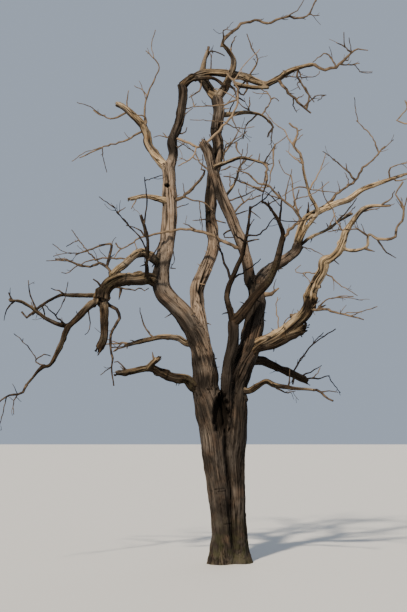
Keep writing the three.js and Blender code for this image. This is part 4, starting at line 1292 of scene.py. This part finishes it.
def limb_tubes(entries):
    """Corners and faces of the tubes and splinters of all the limbs, grains set on the way."""
    corners, faces = [], []
    for entry in entries:
        seed = entry["seed"]
        points, widths = entry["points"], entry["widths"] = visible_axis(entry)
        set_grain(entry)
        ratio = None
        if entry["name"] in ("trunk", "trunk_right"):
            ratio = np.linspace(FOOT_DEPTH_RATIO, 1.0, len(points))
        parts = [tube(points, widths, TUBE_SIDES, ratio)]
        if entry["broken"]:
            parts += splinters(points, widths, seed)
        for part_corners, part_faces in parts:
            start = len(corners)
            corners.extend(part_corners)
            faces.extend(tuple(start + i for i in face) for face in part_faces)
    return corners, faces


def grown_surface(name, group, voxel):
    """One piece of furrowed wood over all the limbs of a group."""
    entries = [e for e in wood if e["group"] == group]
    obj = remeshed(mesh_object(name, *limb_tubes(entries)), voxel)
    mesh = obj.data
    places = read_rows(mesh.vertices, "co", float)
    edges = read_rows(mesh.edges, "vertices", np.int64)
    places = smoothed(places, edges, ALL_OVER_ROUNDS, np.full(len(places), ALL_OVER_SHARE))
    score, limb, sample = nearest_limbs(places, entries)
    fork = 1 - smoothstep(0, FORK_REACH, score[:, 1] - score[:, 0])
    places = smoothed(places, edges, FORK_ROUNDS, FORK_SHARE * fork)
    place_corners(mesh, places)
    normals = read_rows(mesh.vertices, "normal", float)

    def wood_of(rank):
        """Where each corner lies in its nearest (0) or next (1) limb, and what its wood is like."""
        chosen = limb[:, rank]
        inner = limb_places(places, entries, chosen, sample[:, rank])
        return inner, (*relief(inner, entries, chosen), limb_tones(entries, chosen, inner[:, 2]))

    grain, nearest = wood_of(0)
    _, following = wood_of(1)
    blend = 0.5 * fork
    height, crack_shade, stain, tones = (own * (1 - blend) + other * blend
                                   for own, other in zip(nearest, following))
    places = places + normals * height[:, None]
    if group == "stems":
        places, crack_shade = carve(places, normals, crack_shade)
    places[:, 2] = np.maximum(places[:, 2], 0.0)
    place_corners(mesh, places)
    shift = np.array([e["seed"] for e in entries])[limb[:, :1]] * GRAIN_SPACING
    store(mesh, "grain", "FLOAT_VECTOR", grain + shift)
    store(mesh, "crack_shade", "FLOAT", crack_shade)
    store(mesh, "tone", "FLOAT",
          painted_shade_and_stain_tones(tones, entries, limb[:, 0], places, normals, stain))
    thinned(obj)
    for vertex in obj.data.vertices:
        vertex.co.z = max(vertex.co.z, 0.0)
    obj.data.shade_smooth()
    print(name, len(obj.data.vertices), "corners", len(obj.data.polygons), "faces")
    return obj


def feed(tree, socket, value):
    """A link to an input, or a value for it."""
    if isinstance(value, bpy.types.NodeSocket):
        tree.links.new(value, socket)
    elif isinstance(value, tuple) and socket.type == "RGBA":
        socket.default_value = (*value, 1.0)
    else:
        socket.default_value = value


def add_node(tree, kind, feeds=None, **settings):
    """A new node with its settings and with what its inputs read."""
    node = tree.nodes.new(kind)
    for key, value in settings.items():
        setattr(node, key, value)
    for socket, value in (feeds or {}).items():
        feed(tree, node.inputs[socket], value)
    return node


# The materials
SHEEN = 0.06
ALONG_GRAIN = (1.0, 1.0, 0.034)
NOISE_SPAN = (0.3, 0.7)


class Shades:
    """A material's node tree, and the few kinds of nodes that the woods are mixed from."""

    def __init__(self, name, roughness):
        self.material = bpy.data.materials.new(name)
        self.material.use_nodes = True
        self.tree = self.material.node_tree
        self.shader = self.tree.nodes["Principled BSDF"]
        self.shader.inputs["Roughness"].default_value = roughness
        self.shader.inputs["Specular IOR Level"].default_value = SHEEN
        self.place = self.new("ShaderNodeTexCoord").outputs["Object"]

    def new(self, kind, feeds=None, **settings):
        return add_node(self.tree, kind, feeds, **settings)

    def stored(self, name, output="Fac"):
        return self.new("ShaderNodeAttribute", attribute_name=name).outputs[output]

    def noise(self, where, scale, detail=3.0, stretch=None):
        if stretch:
            mapping = self.new("ShaderNodeMapping", {"Scale": stretch, "Vector": where})
            where = mapping.outputs["Vector"]
        texture = self.new("ShaderNodeTexNoise",
                           {"Scale": scale, "Detail": detail, "Vector": where})
        return texture.outputs["Fac"]

    def remap(self, value, span, start=0.0, end=1.0):
        """A value that goes from start to end while the given one goes through its span."""
        feeds = {"Value": value, "From Min": span[0], "From Max": span[1],
                 "To Min": start, "To Max": end}
        return self.new("ShaderNodeMapRange", feeds, clamp=True).outputs["Result"]

    def swing(self, value, amount):
        """Noise turned into a value from -amount to amount."""
        return self.remap(value, NOISE_SPAN, -amount, amount)

    def math(self, operation, a, b=0.0):
        return self.new("ShaderNodeMath", {0: a, 1: b}, operation=operation).outputs["Value"]

    def add(self, *values):
        total, *others = values
        for value in others:
            total = self.math("ADD", total, value)
        return total

    def mix(self, share, a, b):
        return self.new("ShaderNodeMix", {0: share, 6: a, 7: b}, data_type="RGBA").outputs[2]

    def finish(self, colour, height, strength, distance):
        bump = self.new("ShaderNodeBump",
                        {"Strength": strength, "Distance": distance, "Height": height})
        feed(self.tree, self.shader.inputs["Base Color"], colour)
        feed(self.tree, self.shader.inputs["Normal"], bump.outputs["Normal"])
        return self.material


# Colour of the painted shade in furrows and cracks
FURROW_SHADE_COLOUR = (0.006, 0.0045, 0.0035)
MOSS_COLOUR = (0.036, 0.040, 0.016)
LICHEN_COLOUR = (0.15, 0.130, 0.070)

# What each colour goes by: the span of tone, noise or height (in metres) that it comes in over,
# and the largest share that it takes
PALE_SPAN = (0.0, 1.0)
WARM_SPAN = (0.50, 0.68)
WARM_SHARE = 0.55
GREY_SPAN = (0.46, 0.66)
# Low tones, from dark wood and from the painted shade in the tone, are mixed further towards the
# dark colour
DARK_WOOD_AND_SHADE_SPAN = (-0.3, 0.3)
DARK_WOOD_AND_SHADE_SHARE = 0.88
FURROW_SHADE_SHARE = 0.96
MOSS_HEIGHTS = (0.1, 0.8)
MOSS_SHARE = 0.40
MOSS_PATCHES = (0.42, 0.6)
LICHEN_SPAN = (0.52, 0.66)
LICHEN_SHARE = 0.15
LICHEN_SPECKS = (0.40, 0.60)

# Cracks too fine for the mesh, painted as dark lines of shade: scale of the noise, width of the
# line in it, and darkness
FINE_CRACKS = ((13.0, 0.016, 0.95), (30.0, 0.022, 0.8))
FINE_CRACK_CORE = 0.3


def weathered_wood(name, dark, pale, warm, grey, grey_share, mossy):
    """Dead wood with fibres and cracks along the grain, weathered, with moss or lichen on it, and
    painted shade in its cracks and where its tone is low.
    """
    shades = Shades(name, roughness=0.9)
    place = shades.place
    grain = shades.stored("grain", "Vector")
    tone = shades.stored("tone")
    streaks = shades.noise(grain, scale=26.0, detail=5.0, stretch=ALONG_GRAIN)
    fibres = shades.noise(grain, scale=85.0, stretch=ALONG_GRAIN)
    clouds = shades.noise(place, scale=1.7, detail=4.0)
    blotches = shades.noise(place, scale=5.5, detail=4.0)

    mottled_tone = shades.add(tone, shades.swing(clouds, 0.22), shades.swing(streaks, 0.30),
                         shades.swing(fibres, 0.16))
    colour = shades.mix(shades.remap(mottled_tone, PALE_SPAN), dark, pale)
    colour = shades.mix(shades.remap(blotches, WARM_SPAN, end=WARM_SHARE), colour, warm)
    greyness = shades.remap(shades.noise(place, scale=3.3), GREY_SPAN, end=grey_share)
    colour = shades.mix(greyness, colour, grey)
    # Painted shade deepened: darker still where the tone is low, from dark wood and from painted
    # shade
    colour = shades.mix(shades.remap(tone, DARK_WOOD_AND_SHADE_SPAN, DARK_WOOD_AND_SHADE_SHARE, 0.0), colour, dark)
    for scale, width, darkness in FINE_CRACKS:
        cracked = shades.noise(grain, scale, detail=2.0, stretch=ALONG_GRAIN)
        line = shades.math("ABSOLUTE", shades.math("SUBTRACT", cracked, 0.5))
        crack_shade = shades.remap(line, (FINE_CRACK_CORE * width, width), darkness, 0.0)
        colour = shades.mix(crack_shade, colour, FURROW_SHADE_COLOUR)
    # Painted shade in furrows, fibres, splits, the groove, the hollow, the nest hole and the cross
    # cracks
    furrow_shade = shades.math("MULTIPLY", shades.stored("crack_shade"), FURROW_SHADE_SHARE)
    colour = shades.mix(furrow_shade, colour, FURROW_SHADE_COLOUR)

    if mossy:
        height = shades.new("ShaderNodeSeparateXYZ", {"Vector": place}).outputs["Z"]
        film = shades.remap(height, MOSS_HEIGHTS, MOSS_SHARE, 0.0)
        patches = shades.remap(shades.noise(place, scale=9.0), MOSS_PATCHES)
    else:
        film = shades.remap(shades.noise(place, scale=2.3), LICHEN_SPAN, end=LICHEN_SHARE)
        patches = shades.remap(shades.noise(place, scale=26.0), LICHEN_SPECKS)
    growth = MOSS_COLOUR if mossy else LICHEN_COLOUR
    colour = shades.mix(shades.math("MULTIPLY", film, patches), colour, growth)

    bumps = shades.add(streaks, shades.math("MULTIPLY", fibres, 0.5))
    return shades.finish(colour, bumps, strength=0.9, distance=0.010)


def twig_wood(name, dark, pale):
    """Dry twigs: dark grey-brown with paler stretches."""
    shades = Shades(name, roughness=0.85)
    mottle = shades.noise(shades.place, scale=14.0, detail=4.0)
    mottled_tone = shades.add(shades.stored("tone"), shades.swing(mottle, 0.3))
    colour = shades.mix(shades.remap(mottled_tone, PALE_SPAN), dark, pale)
    return shades.finish(colour, mottle, strength=0.5, distance=0.006)


# The stems' wood is darker than the boughs': partly darker bark, partly painted shadow over the
# lower stems
TRUNK_WOOD = weathered_wood(
    "furrowed_stem_wood", dark=(0.022, 0.018, 0.015), pale=(0.245, 0.186, 0.138),
    warm=(0.12, 0.076, 0.050), grey=(0.135, 0.118, 0.102), grey_share=0.5, mossy=True)
BOUGH_WOOD = weathered_wood(
    "weathered_bough_wood", dark=(0.020, 0.0135, 0.009), pale=(0.47, 0.352, 0.215),
    warm=(0.19, 0.12, 0.062), grey=(0.225, 0.21, 0.188), grey_share=0.28, mossy=False)
TWIG_WOOD = twig_wood("dry_twig_wood", dark=(0.016, 0.012, 0.010), pale=(0.22, 0.16, 0.105))


def finish_piece(obj, material, nodes):
    obj.data.materials.clear()
    obj.data.materials.append(material)
    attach(obj, BODY)
    if nodes:
        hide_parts(*nodes)


# The trunk and the boughs
surfaces = []
for name, group, voxel, material, slot in (
        ("stems_of_furrowed_wood", "stems", STEM_VOXEL, TRUNK_WOOD, "trunk_bark"),
        ("boughs_on_the_left", "left", BOUGH_VOXEL, BOUGH_WOOD, "bough_wood"),
        ("boughs_at_the_top", "top", BOUGH_VOXEL, BOUGH_WOOD, "bough_wood"),
        ("boughs_on_the_right", "right", BOUGH_VOXEL, BOUGH_WOOD, "bough_wood")):
    surface = grown_surface(name, group, voxel)
    nodes = [e["name"] for e in wood if e["group"] == group and e["name"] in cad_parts
             and not e["name"].endswith("_twigs")]
    surfaces.append((surface, material, slot, nodes))

# Twigs: paths with a width at each stop, swept by a node tree. Lengths are in millimetres
KINK_SHARE = 0.17
KINK_LEAST = 2.0
END_KINK_SHARE = 0.5
GIRTH_CHANGES = (0.86, 1.16)
KINK_STEP = 70.0
THIN_KINK_STEP = 52.0
THIN_PATH = 26
FINER_TONE = 0.85
FINEST_TONE = 0.8
FINEST_SHARE = 0.8
FEWER_FINEST = 0.8
FINE_LENGTHS = (0.35, 1.5)
SHORTER_FINEST = 0.55
FINE_PIECES = 3
FINE_DRAWS = 24
FINE_WIDEST = 1.7
FINE_LEAST = 0.8
FINE_BASE_SHARE = 0.5
EDGE_ROOM = 8
LOWEST_TWIG = 1500
TWIG_SIDES = 6
TWIG_GIRTH = 1.12
LOW, HIGH = (np.array(corner) / MM for corner in CAD_BOX)
twig_random = np.random.default_rng(23)


def kinked(points, widths, step):
    """A path with more stops and small angular kinks, as dead twigs have."""
    run = run_along(points)
    count = max(2, int(round(run[-1] / step)))
    stops = np.linspace(0, run[-1], count + 1)
    path = np.stack([np.interp(stops, run, points[:, i]) for i in range(3)], axis=1)
    sizes = np.interp(stops, run, widths)
    shift = twig_random.normal(size=path.shape) * (KINK_SHARE * sizes + KINK_LEAST)[:, None]
    shift[0] = 0
    shift[-1] *= END_KINK_SHARE
    return path + shift, sizes * twig_random.uniform(*GIRTH_CHANGES, len(sizes))


def inside_box(points):
    return bool(np.all(points > LOW + EDGE_ROOM) and np.all(points < HIGH - EDGE_ROOM)
                and points[:, 2].min() > LOWEST_TWIG)


def fine_twigs(path, sizes, level):
    """Finer twigs on one path, by the same rule at a smaller size."""
    found = []
    run = np.linalg.norm(np.diff(path, axis=0), axis=1).sum()
    expected = run / 1000 * FINE_PER_METRE * FEWER_FINEST ** level
    for _ in range(int(twig_random.poisson(expected))):
        index = int(twig_random.integers(1, len(path)))
        if index >= len(path) - 1 and len(path) > 3:
            index = len(path) - 2
        length = FINE_LENGTH * twig_random.uniform(*FINE_LENGTHS) * SHORTER_FINEST ** level
        draw = iter(twig_random.uniform(size=FINE_DRAWS).tolist())
        turn = twig_random.uniform(0, 2 * math.pi)
        points = twig_points(path, index, turn, length, FINE_PIECES, draw)
        if not inside_box(points):
            continue
        base = min(FINE_WIDTH * FINE_WIDEST,
                   max(FINE_WIDTH * FINE_LEAST, sizes[index] * FINE_BASE_SHARE))
        found.append((points, np.linspace(base, FINE_TIP_WIDTH, len(points))))
    return found


TWIG_GROUPS = {group: [] for group in ("left", "top", "right")}
for entry in twig_paths:
    axis, tone, grown = entry["axis"], entry["tone"], TWIG_GROUPS[entry["group"]]
    path, sizes = kinked(axis.points, axis.widths,
                         KINK_STEP if axis.widths[0] > THIN_PATH else THIN_KINK_STEP)
    grown.append((path, sizes, tone))
    for finer, finer_sizes in fine_twigs(path, sizes, 0):
        grown.append((finer, finer_sizes, tone * FINER_TONE))
        for finest, finest_sizes in fine_twigs(finer, finer_sizes, 1):
            grown.append((finest, finest_sizes * FINEST_SHARE, tone * FINEST_TONE))


class Growth:
    """A geometry node tree with named inputs, ending in real instances with the wood on them."""

    def __init__(self, name, inputs, result):
        self.tree = bpy.data.node_groups.new(name, "GeometryNodeTree")
        self.keys = {}
        for label, kind, value in inputs:
            socket = self.tree.interface.new_socket(label, in_out="INPUT",
                                                    socket_type="NodeSocket" + kind)
            if value is not None:
                socket.default_value = value
            self.keys[label] = socket.identifier
        self.tree.interface.new_socket(result, in_out="OUTPUT", socket_type="NodeSocketGeometry")
        self.given = self.new("NodeGroupInput").outputs
        self.result = self.new("NodeGroupOutput").inputs[result]

    def new(self, kind, feeds=None, **settings):
        return add_node(self.tree, kind, feeds, **settings)

    def math(self, operation, a, b):
        return self.new("ShaderNodeMath", {0: a, 1: b}, operation=operation).outputs["Value"]

    def finish(self, geometry):
        real = self.new("GeometryNodeRealizeInstances", {"Geometry": geometry})
        paint = self.new("GeometryNodeSetMaterial", {"Geometry": real.outputs["Geometry"],
                                                     "Material": self.given["Wood"]})
        self.tree.links.new(paint.outputs["Geometry"], self.result)
        return self

    def grown_on(self, obj, name, values):
        """A new object with what the tree makes of this one."""
        modifier = obj.modifiers.new("growth", "NODES")
        modifier.node_group = self.tree
        for label, value in values.items():
            modifier[self.keys[label]] = value
        grown = linked(bpy.data.objects.new(name, evaluated_mesh(obj)))
        obj.modifiers.clear()
        print(name, len(grown.data.vertices), "corners", len(grown.data.polygons), "faces")
        return grown


def sweep_tree():
    """Closed twigs swept along paths that have a thickness at each stop."""
    tree = Growth("sweep_twigs", [
        ("Paths", "Geometry", None), ("Sides", "Int", TWIG_SIDES), ("Girth", "Float", TWIG_GIRTH),
        ("Wood", "Material", None)], "Twigs")
    curves = tree.new("GeometryNodeMeshToCurve", {"Mesh": tree.given["Paths"]})
    width = tree.new("GeometryNodeInputNamedAttribute", {"Name": "thickness"}, data_type="FLOAT")
    size = tree.math("MULTIPLY", width.outputs["Attribute"], tree.given["Girth"])
    ring = tree.new("GeometryNodeCurvePrimitiveCircle",
                    {"Resolution": tree.given["Sides"], "Radius": 1.0})
    swept = tree.new("GeometryNodeCurveToMesh", {
        "Curve": curves.outputs["Curve"], "Profile Curve": ring.outputs["Curve"],
        "Scale": size, "Fill Caps": True})
    smooth = tree.new("GeometryNodeSetShadeSmooth", {"Geometry": swept.outputs["Mesh"]})
    return tree.finish(smooth.outputs["Geometry"])


SWEEP = sweep_tree()


def swept_twigs(name, paths):
    corners, edges, thickness, tones = [], [], [], []
    for path, sizes, tone in paths:
        start = len(corners)
        corners.extend(path * MM)
        edges.extend((start + i, start + i + 1) for i in range(len(path) - 1))
        thickness.extend(sizes * MM / 2)
        tones.extend([tone] * len(path))
    obj = mesh_object(name + "_paths", corners, [], edges)
    store(obj.data, "thickness", "FLOAT", np.array(thickness))
    store(obj.data, "tone", "FLOAT", np.array(tones))
    twigs = SWEEP.grown_on(obj, name, {
        "Sides": TWIG_SIDES, "Girth": TWIG_GIRTH, "Wood": TWIG_WOOD})
    bpy.data.objects.remove(obj)
    return twigs


for group, paths in TWIG_GROUPS.items():
    twigs = swept_twigs(f"twigs_{group}", paths)
    owners = sorted({e["owner"] for e in twig_paths
                     if e["group"] == group and e["owner"].endswith("_twigs")})
    finish_piece(twigs, TWIG_WOOD, owners)

# Short broken spurs, scattered over the boughs. Lengths are in metres
SPUR_DENSITY = 6.0
LOWEST_SPUR = 2.6
SPUR_LENGTH = 0.055
SPUR_GIRTH = 0.011
SPUR_SIDES = 5
SPUR_TIP_SHARE = 0.3
SPUR_SIZES = (0.4, 1.6)
SPUR_LEAN = 0.5
HALF_TURN = 3.1
FIRST_SPUR_SEED = 3


def spur_tree():
    """Small bent spurs that stand on a surface."""
    tree = Growth("scatter_spurs", [
        ("Surface", "Geometry", None), ("Density", "Float", SPUR_DENSITY),
        ("Seed", "Int", FIRST_SPUR_SEED), ("Lowest", "Float", LOWEST_SPUR),
        ("Length", "Float", SPUR_LENGTH), ("Girth", "Float", SPUR_GIRTH),
        ("Wood", "Material", None)], "Spurs")
    given = tree.given
    place = tree.new("GeometryNodeInputPosition")
    height = tree.new("ShaderNodeSeparateXYZ", {"Vector": place.outputs["Position"]})
    high = tree.math("GREATER_THAN", height.outputs["Z"], given["Lowest"])
    points = tree.new("GeometryNodeDistributePointsOnFaces", {
        "Mesh": given["Surface"], "Selection": high, "Density": given["Density"],
        "Seed": given["Seed"]})

    bend = tree.new("GeometryNodeCurveQuadraticBezier", {
        "Resolution": 4, "Start": (0, 0, -0.3), "Middle": (0, 0, 0.5), "End": (0.35, 0.1, 1.0)})
    ring = tree.new("GeometryNodeCurvePrimitiveCircle", {"Resolution": SPUR_SIDES, "Radius": 1.0})
    part = tree.new("GeometryNodeSplineParameter")
    taper = tree.new("ShaderNodeMapRange", {
        "Value": part.outputs["Factor"], "To Min": 1.0, "To Max": SPUR_TIP_SHARE})
    slender = tree.math("DIVIDE", given["Girth"], given["Length"])
    spur = tree.new("GeometryNodeCurveToMesh", {
        "Curve": bend.outputs["Curve"], "Profile Curve": ring.outputs["Curve"],
        "Scale": tree.math("MULTIPLY", taper.outputs["Result"], slender), "Fill Caps": True})

    turn = tree.new("FunctionNodeRandomValue", {
        "Min": (-SPUR_LEAN, -SPUR_LEAN, -HALF_TURN), "Max": (SPUR_LEAN, SPUR_LEAN, HALF_TURN)},
                    data_type="FLOAT_VECTOR")
    rotation = tree.new("FunctionNodeRotateRotation", {
        "Rotation": points.outputs["Rotation"], "Rotate By": turn.outputs["Value"]},
                        rotation_space="LOCAL")
    size = tree.new("FunctionNodeRandomValue", {2: SPUR_SIZES[0], 3: SPUR_SIZES[1]},
                    data_type="FLOAT")
    stand = tree.new("GeometryNodeInstanceOnPoints", {
        "Points": points.outputs["Points"], "Instance": spur.outputs["Mesh"],
        "Rotation": rotation.outputs["Rotation"],
        "Scale": tree.math("MULTIPLY", size.outputs[1], given["Length"])})
    return tree.finish(stand.outputs["Instances"])


SPURS = spur_tree()
for seed, (surface, *_) in enumerate(surfaces, start=FIRST_SPUR_SEED):
    spurs = SPURS.grown_on(surface, "spurs_on_" + surface.name, {"Seed": seed, "Wood": TWIG_WOOD})
    finish_piece(spurs, TWIG_WOOD, [])

for surface, material, slot, nodes in surfaces:
    finish_piece(surface, material, nodes)

# The stage, the light and the camera
FLOOR_SIZE = 60.0
FLOOR_DROP = 0.002
FLOOR_COLOUR = (0.46, 0.46, 0.45, 1)
FLOOR_ROUGHNESS = 0.9
WORLD_COLOUR = (0.68, 0.80, 0.98, 1)
WORLD_STRENGTH = 0.52

floor = mesh_object("floor", [(-FLOOR_SIZE, -FLOOR_SIZE, 0), (FLOOR_SIZE, -FLOOR_SIZE, 0),
                              (FLOOR_SIZE, FLOOR_SIZE, 0), (-FLOOR_SIZE, FLOOR_SIZE, 0)],
                    [(0, 1, 2, 3)])
floor_material = bpy.data.materials.new("pale_floor")
floor_material.use_nodes = True
floor_shader = floor_material.node_tree.nodes["Principled BSDF"]
floor_shader.inputs["Base Color"].default_value = FLOOR_COLOUR
floor_shader.inputs["Roughness"].default_value = FLOOR_ROUGHNESS
floor.data.materials.append(floor_material)
floor.location.z = -FLOOR_DROP

world = bpy.data.worlds.new("soft_studio_light")
world.use_nodes = True
background = world.node_tree.nodes["Background"]
background.inputs["Color"].default_value = WORLD_COLOUR
background.inputs["Strength"].default_value = WORLD_STRENGTH
bpy.context.scene.world = world


def sun(name, energy, colour, degrees, direction):
    data = bpy.data.lights.new(name, "SUN")
    data.energy = energy
    data.color = colour
    data.angle = math.radians(degrees)
    lamp = linked(bpy.data.objects.new(name, data))
    lamp.rotation_euler = Vector(direction).to_track_quat("-Z", "Y").to_euler()


sun("key_light", energy=7.6, colour=(1.0, 0.87, 0.69), degrees=3.0, direction=(0.32, 0.82, -0.80))
sun("back_light", energy=1.1, colour=(0.95, 0.96, 1.0), degrees=60.0,
    direction=(-0.35, -0.8, -0.3))

camera_data = bpy.data.cameras.new("camera")
camera_data.sensor_fit = "AUTO"
camera_data.sensor_width = SENSOR
camera_data.lens = SENSOR * (SIGHT_DISTANCE / math.cos(SIGHT_TILT)) / VIEW_HEIGHT
camera_data.clip_end = CLIP_END
camera = linked(bpy.data.objects.new("camera", camera_data))
camera.location = Vector(EYE * MM)
aim = Vector((SIGHT_ACROSS * MM, 0, AIM_HEIGHT * MM))
camera.rotation_euler = (aim - camera.location).to_track_quat("-Z", "Y").to_euler()
bpy.context.scene.camera = camera
